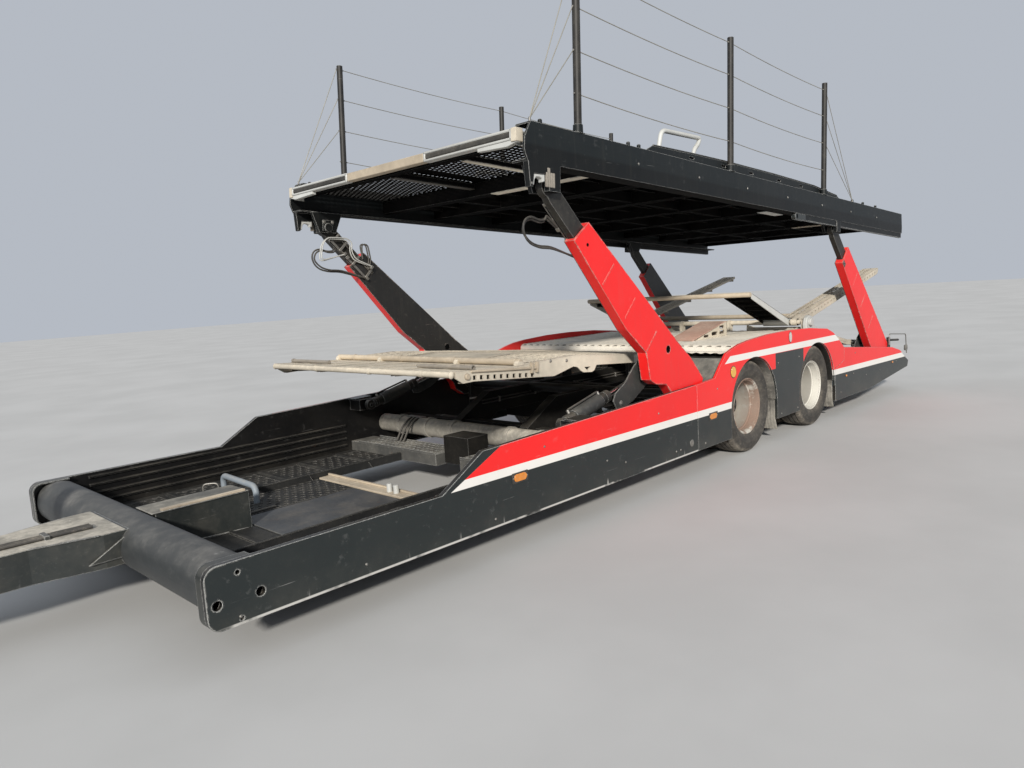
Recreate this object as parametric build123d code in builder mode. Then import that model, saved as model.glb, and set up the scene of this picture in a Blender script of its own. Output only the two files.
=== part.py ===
"""Two-axle centre-axle car transporter trailer, unloaded, standing on its jack.

Millimetres. +X forward to the towing eye, +Y to the left side, +Z up.
X is counted from the front axle inside the tables below; AXLE_X places the
front axle in the part's own frame, whose origin is on the ground under the
middle of the whole length.
"""

from build123d import *
import os
from math import cos, sin, radians, degrees, atan2, hypot

os.makedirs("parts", exist_ok=True)

# ---------------------------------------------------------------- dimensions
AXLE_X = -1320.0            # front axle, from the middle of the length
AXLE_GAP = 1310.0           # front axle to rear axle
HALF_W = 1275.0             # half the overall width
PANEL_Y = 1268.0            # outer face of the long side panels
FENDER_Y = 1270.0           # outer face of the hoods over the wheels
WEB = 30.0                  # thickness of a side panel
CHANNEL = 130.0             # depth of a side channel
SHEET = 12.0                # flange and floor sheet

TYRE_R = 388.0              # loaded tyre radius
TYRE_W = 245.0
RIM_R = 222.0
TWIN_Y = 975.0              # middle of a pair of twin wheels
TWIN_GAP = 30.0

TUBE_X, TUBE_Z, TUBE_R = 4505.0, 325.0, 130.0      # front cross tube
TORSION_X, TORSION_Z, TORSION_R = 1920.0, 392.0, 75.0

LINK_X, LINK_Z = 1420.0, 1440.0    # from a lift arm's foot to its deck pin
FRONT_FOOT = (980.0, 620.0)
REAR_FOOT = (-3300.0, 440.0)
ARM_Y0, ARM_Y1 = 1155.0, 1235.0    # inner and outer side of a lift arm

DECK_TILT = 3.0             # degrees, low at the rear
DECK_Z = 2046.0             # underside of a deck beam over the front axle
DECK_H = 223.0

HINGE_X, HINGE_Z = -1490.0, 985.0  # cross hinge tube over the rear axle
REAR_BED_TILT = 11.0
MID_X, MID_Z = 450.0, 840.0        # hinge of the middle platform
MID_TILT = 5.2

EYE_X, EYE_Z, EYE_R = 6640.0, 365.0, 25.0
JACK_X, JACK_Y = 5250.0, -275.0


# ------------------------------------------------------------------- helpers
def side(y, x=0.0, z=0.0, tilt=0.0):
    """Plane seen from the left side's opposite: local x forward, local y up, extrudes to -Y."""
    t = radians(tilt)
    return Plane(origin=(AXLE_X + x, y, z), x_dir=(cos(t), 0, sin(t)), z_dir=(0, -1, 0))


def level(z, x=0.0):
    """Horizontal plane, local x forward, local y left, extrudes up."""
    return Plane(origin=(AXLE_X + x, 0, z), x_dir=(1, 0, 0), z_dir=(0, 0, 1))


def tilted(x, z, tilt):
    """Plane across the vehicle whose local x runs up the slope, local y left."""
    t = radians(tilt)
    return Plane(origin=(AXLE_X + x, 0, z), x_dir=(cos(t), 0, sin(t)), z_dir=(-sin(t), 0, cos(t)))


def outline(points):
    """A closed face in the current sketch from a table of corner points."""
    Polygon(*points, align=None)


def plate(y_low, y_high, points, mode=Mode.ADD, x=0.0, z=0.0, tilt=0.0):
    """A side-view outline as thick as y_low to y_high."""
    with BuildSketch(side(y_high, x, z, tilt)) as face:
        outline(points)
    extrude(face.sketch, amount=y_high - y_low, dir=(0, -1, 0), mode=mode)


def box(x0, x1, y0, y1, z0, z1, mode=Mode.ADD):
    with Locations((AXLE_X + (x0 + x1) / 2, (y0 + y1) / 2, (z0 + z1) / 2)):
        Box(abs(x1 - x0), abs(y1 - y0), abs(z1 - z0), mode=mode)


def slab(plane, x0, x1, y0, y1, z0, z1, mode=Mode.ADD):
    """A box in the local axes of a tilted plane."""
    with BuildSketch(plane.offset(z0)) as face:
        with Locations(((x0 + x1) / 2, (y0 + y1) / 2)):
            Rectangle(abs(x1 - x0), abs(y1 - y0))
    extrude(face.sketch, amount=z1 - z0, dir=plane.z_dir, mode=mode)


def rod_local(place, lx, lz, r, y0, y1, mode=Mode.ADD):
    """A round bar across the vehicle placed in a tilted side view: place is x, z, tilt."""
    with BuildSketch(side(max(y0, y1), *place)) as face:
        with Locations((lx, lz)):
            Circle(r)
    extrude(face.sketch, amount=abs(y1 - y0), dir=(0, -1, 0), mode=mode)


def rod_y(x, z, r, y0, y1, mode=Mode.ADD):
    """A round bar across the vehicle."""
    rod_local((x, z), 0, 0, r, y0, y1, mode)


def both():
    """Repeats what has been made on the left side on the right side."""
    mirror(about=Plane.XZ)


def save(name, builder):
    builder.part.label = name
    export_step(builder.part, "parts/" + name + ".step")


# --------------------------------------------------------------- side panels
# corners of the long front panel: x from the front axle, height
FRONT_PANEL = [(905, 190), (4655, 190), (4655, 462), (3412, 458), (3112, 632), (905, 690)]
RAM_BASE = (2200.0, 600.0)         # pin of the front lift ram
REAR_RAM_BASE = (REAR_FOOT[0] + RAM_BASE[0] - FRONT_FOOT[0], REAR_FOOT[1] + RAM_BASE[1] - FRONT_FOOT[1])
RAM_PIN_R = 15.0

with BuildPart() as side_beam_left:
    with BuildSketch(side(PANEL_Y)) as panel_sketch:
        outline(FRONT_PANEL)
        front_corners = panel_sketch.vertices().sort_by(Axis.X)[-2:]
        fillet(front_corners, radius=58)
    extrude(amount=CHANNEL)
    # hollow of the channel, open to the middle of the vehicle
    plate(PANEL_Y - CHANNEL, PANEL_Y - WEB,
          [(880, 202), (4670, 202), (4670, 450), (3409, 446), (3109, 620), (880, 678)], Mode.SUBTRACT)
    # the flanges stop short of the front cross tube
    box(4345, 4700, PANEL_Y - CHANNEL - 5, PANEL_Y - WEB, 180, 480, Mode.SUBTRACT)
    # the top edge has only a narrow lip: x from, x to
    for x0, x1 in ((1600, RAM_BASE[0] - 80), (RAM_BASE[0] + 80, 4400)):
        box(x0, x1, PANEL_Y - CHANNEL - 5, PANEL_Y - WEB, 430, 720, Mode.SUBTRACT)
    # room for the foot of the front lift arm
    box(560, 1640, PANEL_Y - CHANNEL - 5, PANEL_Y - WEB, 330, 720, Mode.SUBTRACT)
    # block and pin that carry the front lift ram
    box(RAM_BASE[0] - 70, RAM_BASE[0] + 70, 1098, PANEL_Y - WEB, RAM_BASE[1] - 45, 643)
    rod_y(*RAM_BASE, RAM_PIN_R, 1026, 1110)
    # round holes at the front end: x, height, radius
    for hx, hz, hr in [(4611, 300, 21), (4424, 300, 21), (4514, 411, 10), (4515, 215, 9)]:
        rod_y(hx, hz, hr, 1200, 1300, Mode.SUBTRACT)
with BuildPart() as side_beam_right:
    add(mirror(side_beam_left.part, about=Plane.XZ))

# hood over the two wheels: top edge corners, front to rear
HOOD_TOP = [(900, 690), (628, 707), (528, 805), (445, 878), (347, 905), (228, 930), (57, 948),
            (-305, 966), (-700, 967), (-1140, 951), (-1560, 912), (-1712, 862), (-1838, 793), (-1990, 690)]
ARCH_X = (-30.0, -1318.0)
ARCH_Z, ARCH_R = 385.0, 415.0
SHELL_R0, SHELL_R1 = 425.0, 437.0

with BuildPart() as fender_left:
    plate(1250, FENDER_Y, HOOD_TOP + [(-1990, 560), (-1750, 500), (-1750, 330), (-1318, 330), (-1318, 210),
                                    (-30, 210), (-30, 190), (900, 190)])
    for ax in ARCH_X:
        rod_y(ax, ARCH_Z, ARCH_R, 1200, 1300, Mode.SUBTRACT)
        box(ax - ARCH_R, ax + ARCH_R, 1200, 1300, 100, ARCH_Z, Mode.SUBTRACT)
    # inner wheel housings, half rings over each pair of wheels
    for ax in ARCH_X:
        with BuildSketch(side(1251, ax, ARCH_Z)):
            Circle(SHELL_R1)
            Circle(SHELL_R0, mode=Mode.SUBTRACT)
            with Locations((0, -300)):
                Rectangle(1000, 600, mode=Mode.SUBTRACT)
        extrude(amount=600)
with BuildPart() as fender_right:
    add(mirror(fender_left.part, about=Plane.XZ))

# tapering panel behind the rear wheel
REAR_PANEL = [(-1760, 168), (-2720, 164), (-4020, 262), (-4050, 330), (-3900, 400), (-3752, 481),
              (-3466, 545), (-2714, 619), (-2000, 688), (-1994, 555), (-1760, 492)]
REAR_POCKET = [(-1740, 180), (-2722, 176), (-4008, 272), (-4034, 322), (-3890, 390), (-3744, 469),
               (-3460, 533), (-2712, 607), (-2010, 675), (-2002, 545), (-1740, 470)]

with BuildPart() as rear_panel_left:
    plate(PANEL_Y - CHANNEL, PANEL_Y, REAR_PANEL)
    plate(PANEL_Y - CHANNEL, PANEL_Y - WEB, REAR_POCKET, Mode.SUBTRACT)
    # room for the foot of the rear lift arm
    box(-3660, -2540, PANEL_Y - CHANNEL - 5, PANEL_Y - WEB, 300, 720, Mode.SUBTRACT)
    # block and pin that carry the rear lift ram
    box(REAR_RAM_BASE[0] - 70, REAR_RAM_BASE[0] + 70, 1098, PANEL_Y - WEB, REAR_RAM_BASE[1] - 45, REAR_RAM_BASE[1] + 43)
    rod_y(*REAR_RAM_BASE, RAM_PIN_R, 1026, 1110)
with BuildPart() as rear_panel_right:
    add(mirror(rear_panel_left.part, about=Plane.XZ))

# marker lamps along the side, the widest points of the vehicle: x, height, half length, half height, y of the face behind
LAMPS = [(2840, 429, 64, 30, PANEL_Y), (674, 419, 64, 30, FENDER_Y), (340, 719, 46, 50, FENDER_Y), (-724, 903, 30, 50, FENDER_Y),
         (-2045, 391, 22, 14, PANEL_Y), (-3467, 370, 22, 14, PANEL_Y)]
with BuildPart() as marker_lamps:
    for lx, lz, lh, lv, face_y in LAMPS:
        box(lx - lh, lx + lh, face_y, HALF_W, lz - lv, lz + lv)
    both()

# ------------------------------------------------------------ front of frame
with BuildPart() as front_cross_tube:
    rod_y(TUBE_X, TUBE_Z, TUBE_R, -1238, 1238)
    rod_y(TUBE_X, TUBE_Z, TUBE_R - 12, -1238, 1238, Mode.SUBTRACT)

with BuildPart() as drawbar:
    with BuildSketch(level(262)):
        outline([(4560, -260), (4700, -260), (5000, -190), (5400, -190), (6380, -85), (6520, -85),
                 (6520, 85), (6380, 85), (5400, 190), (5000, 190), (4700, 260), (4560, 260)])
    extrude(amount=168)
    # the root of the drawbar fits round the tube
    rod_y(TUBE_X, TUBE_Z, TUBE_R, -300, 300, Mode.SUBTRACT)
    # inside of the box section
    with BuildSketch(level(274)):
        outline([(4700, -248), (4994, -178), (5394, -178), (6374, -73), (6400, -73), (6400, 73), (6374, 73), (5394, 178),
                 (4994, 178), (4700, 248)])
    extrude(amount=144, mode=Mode.SUBTRACT)

with BuildPart() as towing_eye:
    with BuildSketch(level(EYE_Z - 20)):
        with Locations((EYE_X, 0)):
            Circle(60)
        with Locations(((EYE_X + 6521) / 2, 0)):
            Rectangle(EYE_X - 6521, 70)
    extrude(amount=40)
    # flange bolted to the front face of the drawbar
    box(6520, 6545, -80, 80, 275, 425)
    with BuildSketch(level(EYE_Z - 30)):
        with Locations((EYE_X, 0)):
            Circle(EYE_R)
    extrude(amount=60, mode=Mode.SUBTRACT)

with BuildPart() as centre_spine:
    box(3880, 4399, -105, 105, 214, 430)
    box(3892, 4365, -93, 93, 226, 418, Mode.SUBTRACT)
    rod_y(TUBE_X, TUBE_Z, TUBE_R, -300, 300, Mode.SUBTRACT)

# wheel tracks in the low front bay, with a turned-up inner edge
with BuildPart() as well_tracks:
    box(2292, 4372, 552, 1236, 202, 214)
    box(2292, 4372, 552, 564, 214, 262)
    # ribs across the track: x from the front axle
    for rx in (2500, 2850, 3200, 3550, 3900, 4250):
        box(rx, rx + 40, 564, 1137, 214, 224)
    both()

with BuildPart() as well_floor:
    box(2950, 4372, -551, 551, 202, 214)

with BuildPart() as well_crossbeam:
    box(2062, 2290, 136, 1236, 202, 290)
    box(2074, 2278, 148, 1236, 190, 278, Mode.SUBTRACT)
    both()

with BuildPart() as torsion_tube:
    rod_y(TORSION_X, TORSION_Z, TORSION_R, -1236, 1236)
    # collars: y from, y to
    for c0, c1 in [(-328, -285), (285, 328), (-1000, -960), (960, 1000)]:
        rod_y(TORSION_X, TORSION_Z, TORSION_R + 9, c0, c1)
    rod_y(TORSION_X, TORSION_Z, TORSION_R - 10, -1236, 1236, Mode.SUBTRACT)

# ------------------------------------------------------------- running frame
RAIL_Y0, RAIL_Y1 = 330.0, 410.0
SHAFT_R = 40.0
# main rails, high over the axles and low behind them
with BuildPart() as frame_rails:
    plate(RAIL_Y0, RAIL_Y1, [(1846, 330), (1846, 460), (1500, 650), (-1700, 650), (-1980, 505), (-3899, 505),
                             (-3899, 335), (-2080, 335), (-1870, 470), (1420, 470), (1640, 330)])
    both()
    rod_y(TORSION_X, TORSION_Z, TORSION_R, -1240, 1240, Mode.SUBTRACT)
    for bx, bz in (FRONT_FOOT, REAR_FOOT):
        rod_y(bx, bz, SHAFT_R + 8, -RAIL_Y1 - 5, RAIL_Y1 + 5, Mode.SUBTRACT)

with BuildPart() as frame_crossmembers:
    # between the rails: x, half length, bottom, top
    for cx, cl, cz0, cz1 in [(1745, 50, 360, 460), (700, 40, 490, 630), (-655, 50, 490, 630), (-1600, 40, 490, 630),
                             (-2600, 40, 350, 490), (-3700, 40, 350, 490)]:
        box(cx - cl, cx + cl, -RAIL_Y0, RAIL_Y0, cz0, cz1)
    # stub of the spine in front of the torsion tube
    box(1996, 2200, -135, 135, 212, 420)

with BuildPart() as frame_outriggers:
    # from the rails to the side channels: x, half length, bottom, top, y end
    for cx, cl, cz0, cz1, cy in [(1720, 40, 340, 440, 1236), (520, 25, 490, 600, 1050), (-655, 22, 490, 640, 1246),
                                 (-1950, 40, 350, 480, 1236), (-3780, 40, 345, 425, 1236)]:
        box(cx - cl, cx + cl, RAIL_Y1, cy, cz0, cz1)
    both()

with BuildPart() as bearing_plates:
    # bearing plates of the lift shafts
    for bx, bz in (FRONT_FOOT, REAR_FOOT):
        box(bx - 75, bx + 75, 1050, 1080, bz - 130, bz + 65)
    box(430, 1055, 1050, 1080, 490, 560)
    box(-3740, -3250, 1050, 1080, 350, 430)
    # ears of the middle platform's hinge
    box(MID_X - 50, MID_X + 50, 345, 375, 650, MID_Z + 40)
    both()
    for bx, bz in (FRONT_FOOT, REAR_FOOT):
        rod_y(bx, bz, SHAFT_R + 0.5, -1090, 1090, Mode.SUBTRACT)
    rod_y(MID_X, MID_Z, 25.5, -400, 400, Mode.SUBTRACT)

axle_parts = {}
for axle_name, ax in (("axle_front", 0.0), ("axle_rear", -AXLE_GAP)):
    with BuildPart() as axle:
        rod_y(ax, TYRE_R, 63, -640, 640)
        rod_y(ax, TYRE_R, 44.7, -960, 960)
        # brake chambers and their levers, behind each axle tube
        box(ax - 150, ax - 50, 450, 560, TYRE_R - 30, TYRE_R + 30)
        both()
    axle_parts[axle_name] = axle

with BuildPart() as suspension:
    for ax in (0.0, -AXLE_GAP):
        # trailing arm under the axle, from hanger to air bag
        box(ax - 560, ax + 520, 335, 405, 290, 325)
        # hanger bracket under the rail
        box(ax + 430, ax + 520, 335, 405, 325, 470)
        # air bag between the arm's tail and the rail
        with Locations((AXLE_X + ax - 430, 370, 325 + 145 / 2)):
            Cylinder(105, 145)
    both()

# fixed deck over the wheels, front lip turned down
with BuildPart() as bogie_deck:
    box(-1440, 100, -1244, 1244, 880, 905)
    box(100, 132, -1244, 1244, 838, 905)
    # risers on the rails: x
    for rx in (-100, -700, -1380):
        box(rx - 40, rx + 40, 330, 410, 650, 880)
        box(rx - 40, rx + 40, -410, -330, 650, 880)
    # wedge that stops a wheel, left of the middle
    plate(300, 560, [(-260, 905), (-900, 905), (-900, 1040), (-860, 1046)])

# hinge tube of the rear bed with its standards
with BuildPart() as hinge_tube:
    rod_y(HINGE_X, HINGE_Z, 24, -1090, 1090)
    # standards on the rear edge of the deck: y from, y to
    for s0, s1 in [(-1090, -1062), (-300, -270), (270, 300), (1062, 1090)]:
        plate(s0, s1, [(-1441, 880), (-1441, 1000), (-1475, 1015), (-1510, 1010), (-1520, 960), (-1500, 880)])

# fixed tracks that drop from the deck to the rear end
with BuildPart() as rear_tracks:
    plate(450, 1015, [(-1525, 900), (-1525, 930), (-2760, 668), (-3960, 545), (-3960, 520), (-2765, 640), (-2000, 800)])
    # legs on the rear rails
    for lx, top in ((-2350, 740), (-3600, 566)):
        box(lx - 30, lx + 30, 330, 410, 505, top)
        box(lx - 30, lx + 30, 410, 500, top - 40, top)
    both()

with BuildPart() as rear_bumper:
    box(-3990, -3900, -1138, 1138, 300, 440)
    # lamp boards: y from, y to
    for l0, l1 in ((700, 1136), (-1136, -700)):
        box(-4060, -3990, l0, l1, 305, 435)
    box(-4020, -3990, -260, 260, 320, 430)

with BuildPart() as mudflaps:
    for ax in ARCH_X:
        box(ax - SHELL_R1, ax - SHELL_R1 + 10, 690, 1238, 105, ARCH_Z)
    both()

with BuildPart() as jack_housing:
    box(JACK_X - 48, JACK_X + 48, JACK_Y - 48, JACK_Y + 48, 300, 860)
    box(JACK_X - 39, JACK_X + 39, JACK_Y - 39, JACK_Y + 39, 200, 845, Mode.SUBTRACT)
    # bracket on the right side of the drawbar
    box(JACK_X - 60, JACK_X + 60, JACK_Y + 48, -190, 300, 420)

with BuildPart() as jack_leg:
    box(JACK_X - 37, JACK_X + 37, JACK_Y - 37, JACK_Y + 37, 14, 555)
    box(JACK_X - 120, JACK_X + 120, JACK_Y - 78, JACK_Y + 78, 0, 14)

# -------------------------------------------------------------------- wheels
# section of a tyre: distance from its middle, radius
TYRE_SECTION = [(-90, 223), (-90, 240), (-118, 280), (-122, 310), (-118, 345), (-104, 374), (-80, 386), (80, 386),
                (104, 374), (118, 345), (122, 310), (118, 280), (90, 240), (90, 223)]
# section of the twin rims: y from the middle of the twins, radius
RIM_SECTION = [(-236, 214), (-236, 236), (-229, 236), (-229, 222), (-47, 222), (-47, 234), (-41, 234), (-41, 216),
               (41, 216), (41, 234), (47, 234), (47, 222), (229, 222), (229, 236), (236, 236), (236, 214),
               (50, 212), (14, 190), (14, 120), (100, 112), (100, 0), (0, 0), (0, 45), (-265, 45), (-265, 112),
               (-14, 120), (-14, 190), (-50, 212)]
WHEELS = {"front_left": (0.0, 1), "front_right": (0.0, -1), "rear_left": (-AXLE_GAP, 1), "rear_right": (-AXLE_GAP, -1)}
wheel_parts = {}
for wheel, (wx, hand) in WHEELS.items():
    hub = Plane(origin=(AXLE_X + wx, hand * TWIN_Y, TYRE_R), x_dir=(0, hand, 0), z_dir=(-hand, 0, 0))
    axis = Axis((AXLE_X + wx, 0, TYRE_R), (0, 1, 0))
    with BuildPart() as tyres:
        for mid in (-(TYRE_W + TWIN_GAP) / 2, (TYRE_W + TWIN_GAP) / 2):
            with BuildSketch(hub):
                outline([(mid + y, r * 388.0 / 386.0) for y, r in TYRE_SECTION])
            revolve(axis=axis)
    with BuildPart() as rims:
        with BuildSketch(hub):
            outline(RIM_SECTION)
        revolve(axis=axis)
    wheel_parts[wheel] = (tyres, rims)

# ----------------------------------------------------------------- lift arms
LINK_L = hypot(LINK_X, LINK_Z)
LINK_A = degrees(atan2(LINK_Z, LINK_X))
SLEEVE_TOP = 1655.0
TUBE_FROM = 750.0           # lower end of a sliding tube, from the foot
TUBE_HALF = 58.0            # half depth of a sliding tube
TUBE_Y0, TUBE_Y1 = 1169.0, 1218.0
TOE = (1360.0 - 980.0, 800.0 - 620.0)
# side view of the front arm in the vehicle's axes: x, z from the foot
FRONT_ARM = [(1078, 1240), (1233, 1130), (730, 546), (509, 369), (474, 176), (402, 138), (275, 120), (190, 29),
             (160, -40), (60, -105), (-60, -105), (-150, -40), (-235, 99), (-72, 271), (124, 423), (483, 732)]
# side view of the rear arm along its own length: distance, side step
REAR_ARM = [(-90, -70), (0, -105), (120, -150), (300, -196), (480, -190), (1655, -112), (1655, 112), (480, 168),
            (-60, 190), (-130, 60)]

with BuildPart() as front_arms:
    plate(ARM_Y0, ARM_Y1, FRONT_ARM, x=FRONT_FOOT[0], z=FRONT_FOOT[1])
    # slot for the sliding tube
    plate(TUBE_Y0 - 4, TUBE_Y1 + 4, [(440, -TUBE_HALF - 5), (1800, -TUBE_HALF - 5), (1800, TUBE_HALF + 5), (440, TUBE_HALF + 5)],
          Mode.SUBTRACT, FRONT_FOOT[0], FRONT_FOOT[1], LINK_A)
    # round hole through the arm
    with BuildSketch(side(1300, *FRONT_FOOT)):
        with Locations((235, 368)):
            Circle(27)
    extrude(amount=300, mode=Mode.SUBTRACT)
    # boss for the ram on the toe
    with BuildSketch(side(ARM_Y0, *FRONT_FOOT)):
        with Locations(TOE):
            Circle(40)
    extrude(amount=ARM_Y0 - 1075)
    rod_y(*FRONT_FOOT, SHAFT_R, 0, 1232)
    both()

with BuildPart() as rear_arms:
    plate(ARM_Y0, ARM_Y1, REAR_ARM, x=REAR_FOOT[0], z=REAR_FOOT[1], tilt=LINK_A)
    plate(TUBE_Y0 - 4, TUBE_Y1 + 4, [(440, -TUBE_HALF - 5), (1800, -TUBE_HALF - 5), (1800, TUBE_HALF + 5), (440, TUBE_HALF + 5)],
          Mode.SUBTRACT, REAR_FOOT[0], REAR_FOOT[1], LINK_A)
    # lever and boss for the ram
    plate(ARM_Y0, ARM_Y1, [(0, -60), (TOE[0] + 40, TOE[1] - 40), (TOE[0] + 40, TOE[1] + 45), (120, 240)],
          x=REAR_FOOT[0], z=REAR_FOOT[1])
    with BuildSketch(side(ARM_Y0, *REAR_FOOT)):
        with Locations(TOE):
            Circle(40)
    extrude(amount=ARM_Y0 - 1075)
    rod_y(*REAR_FOOT, SHAFT_R, 0, 1232)
    both()

slide_parts = {}
for tube_name, foot in (("front_slide_tubes", FRONT_FOOT), ("rear_slide_tubes", REAR_FOOT)):
    eye_r = 60.0 if foot is FRONT_FOOT else 50.0
    with BuildPart() as tube:
        plate(TUBE_Y0, TUBE_Y1, [(TUBE_FROM, -TUBE_HALF), (LINK_L - 70, -TUBE_HALF), (LINK_L - 20, -eye_r + 12),
                                 (LINK_L - 20, eye_r - 12), (LINK_L - 70, TUBE_HALF), (TUBE_FROM, TUBE_HALF)],
              x=foot[0], z=foot[1], tilt=LINK_A)
        rod_local((foot[0], foot[1], LINK_A), LINK_L, 0, eye_r, TUBE_Y0, TUBE_Y1)
        rod_local((foot[0], foot[1], LINK_A), LINK_L, 0, 25.5, 1100, 1250, Mode.SUBTRACT)
        both()
    slide_parts[tube_name] = tube

# lift rams: a barrel on the side channel's pin, a rod to the arm's toe
RAM_DX, RAM_DZ = 980.0 + TOE[0] - RAM_BASE[0], 620.0 + TOE[1] - RAM_BASE[1]
RAM_L = hypot(RAM_DX, RAM_DZ)
RAM_A = degrees(atan2(RAM_DZ, RAM_DX))
RAM_Y = 1050.0
ram_parts = {}
for ram_name, base in (("front", RAM_BASE), ("rear", REAR_RAM_BASE)):
    along = Plane(origin=(AXLE_X + base[0], RAM_Y, base[1]), x_dir=(0, 1, 0),
                  z_dir=(cos(radians(RAM_A)), 0, sin(radians(RAM_A))))
    with BuildPart() as barrels:
        with BuildSketch(along.offset(30)):
            Circle(38)
        extrude(amount=450)
        rod_local((base[0], base[1], RAM_A), 0, 0, 40, RAM_Y - 20, RAM_Y + 20)
        with BuildSketch(along.offset(70)):
            Circle(18.5)
        extrude(amount=500, mode=Mode.SUBTRACT)
        rod_y(base[0], base[1], RAM_PIN_R + 0.4, 1000, 1095, Mode.SUBTRACT)
        both()
    with BuildPart() as rods:
        with BuildSketch(along.offset(RAM_L - 560)):
            Circle(18)
        extrude(amount=545)
        rod_local((base[0], base[1], RAM_A), RAM_L, 0, 38, RAM_Y - 20, RAM_Y + 20)
        both()
    ram_parts[ram_name] = (barrels, rods)

# ---------------------------------------------------------------- upper deck
DECK = (0.0, DECK_Z, DECK_TILT)
DT = radians(DECK_TILT)


def deck_point(x, z):
    """Side-view point of the vehicle in the deck's own tilted axes."""
    return (x * cos(DT) + (z - DECK_Z) * sin(DT), -x * sin(DT) + (z - DECK_Z) * cos(DT))


# fold line on a deck beam: x, height, slope, and the lean above it in degrees
FOLD_LINE = (1960.0, 155.0, 0.016)
FOLD_LEAN = 3.5


def deck_point_in_part(x, z, y):
    """Point in the deck's own axes, given in the part's frame."""
    return (AXLE_X + x * cos(DT) - z * sin(DT), y, DECK_Z + x * sin(DT) + z * cos(DT))


FRONT_PIN = deck_point(FRONT_FOOT[0] + LINK_X, FRONT_FOOT[1] + LINK_Z)
REAR_PIN = deck_point(REAR_FOOT[0] + LINK_X, REAR_FOOT[1] + LINK_Z)
# outer ear of the front pin: a leg at the pin and a horn at the beam's front end
FRONT_OUTER_EAR = [(2345, 6), (2350, -150), (2445, -150), (2450, -60), (2574, -64), (2586, -139), (2606, -139), (2620, 0), (2620, 6)]
with BuildPart() as deck_beam_left:
    plate(1150, PANEL_Y, [(-3800, 0), (2625, 0), (2650, 60), (2645, 130), (2590, DECK_H), (-3815, DECK_H)], x=0, z=DECK_Z, tilt=DECK_TILT)
    plate(1100, PANEL_Y - 14, [(-3900, 12), (2700, 12), (2700, DECK_H - 12), (-3900, DECK_H - 12)], Mode.SUBTRACT, 0, DECK_Z, DECK_TILT)
    # shallow fold: above a line along the beam the outer face leans inwards
    fold_at = Vector(*deck_point_in_part(FOLD_LINE[0], FOLD_LINE[1], PANEL_Y))
    fold_run = (Vector(*deck_point_in_part(FOLD_LINE[0] + 1000, FOLD_LINE[1] + 1000 * FOLD_LINE[2], PANEL_Y)) - fold_at).normalized()
    fold_up = fold_run.cross(Vector(0, 1, 0)).normalized()
    lean = radians(FOLD_LEAN)
    fold = Plane(origin=fold_at, x_dir=fold_run, z_dir=Vector(0, 1, 0) * cos(lean) + fold_up * sin(lean))
    with BuildSketch(fold) as face:
        with Locations((-1500, -200)):
            Rectangle(9000, 400)
    extrude(face.sketch, amount=60, dir=fold.z_dir, mode=Mode.SUBTRACT)
    # ears and pins that hang under the beam: pin x, pin z, half width
    for (px, pz), pw in ((FRONT_PIN, 75), (REAR_PIN, 65)):
        full_ear = [(px - pw, pz - 40), (px + pw, pz - 40), (px + pw + 60, 0), (px + pw + 60, 6), (px - pw - 60, 6), (px - pw - 60, 0)]
        rear_outer_ear = [(px - 45, pz - 40), (px + 45, pz - 40), (px + 50, 6), (px - 50, 6)]
        plate(1134, 1162, full_ear, x=0, z=DECK_Z, tilt=DECK_TILT)
        plate(1228, PANEL_Y, FRONT_OUTER_EAR if px > 0 else rear_outer_ear, x=0, z=DECK_Z, tilt=DECK_TILT)
        rod_local(DECK, px, pz, 25.0, 1134, PANEL_Y)
    # slide rail under the rear half
    plate(1236, 1262, [(-3790, -52), (-905, -52), (-880, -38), (-880, -14), (-900, 0), (-3790, 0)], x=0, z=DECK_Z, tilt=DECK_TILT)
with BuildPart() as deck_beam_right:
    add(mirror(deck_beam_left.part, about=Plane.XZ))

DECK_PLANE = tilted(0, DECK_Z, DECK_TILT)
CROSS_AT = (2550, 1730, 1150, 400, -350, -1100, -1850, -2600, -3300, -3780)
with BuildPart() as deck_cross_members:
    for cx in CROSS_AT:
        # the front one lies close under the plates
        slab(DECK_PLANE, cx - 30, cx + 30, -1254, 1254, 120 if cx > 2000 else 60, 160)

# inner runners, one length between each two cross members; those of the front bay are set apart
with BuildPart() as deck_runners:
    for ahead, behind in zip(CROSS_AT, CROSS_AT[1:]):
        for r0, r1 in ((606, 646), (-120, -80)) if ahead > 2000 else ((380, 430), (-430, -380)):
            slab(DECK_PLANE, behind + 30, ahead - 30, r0, r1, 121 if ahead > 2000 else 70, 150)

with BuildPart() as deck_plates:
    for p0, p1 in ((60, 1240), (-1240, -60)):
        slab(DECK_PLANE, -3805, 2590, p0, p1, 160, 170)

with BuildPart() as deck_front_lip:
    slab(DECK_PLANE, 2612, 2672, -1225, 1225, 120, 182)
    slab(DECK_PLANE, 2591, 2613, -1225, 1225, 140, 159)

# raised boards along both edges: x along the deck, height
BOARD = [(1420, 0), (1290, 62), (770, 76), (300, 84), (-560, 86), (-1410, 78), (-1970, 40), (-2080, 0)]
with BuildPart() as deck_boards:
    plate(1205, 1217, [(x, DECK_H + h) for x, h in BOARD], x=0, z=DECK_Z, tilt=DECK_TILT)
    both()

# posts along both edges: x along the deck, height above the beam
POSTS = [(2146, 1000), (263, 1010), (-1562, 1035)]
with BuildPart() as deck_posts:
    for px, ph in POSTS:
        with BuildSketch(DECK_PLANE.offset(DECK_H)):
            with Locations((px, 1243)):
                Circle(24)
        extrude(amount=ph)
    both()

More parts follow.
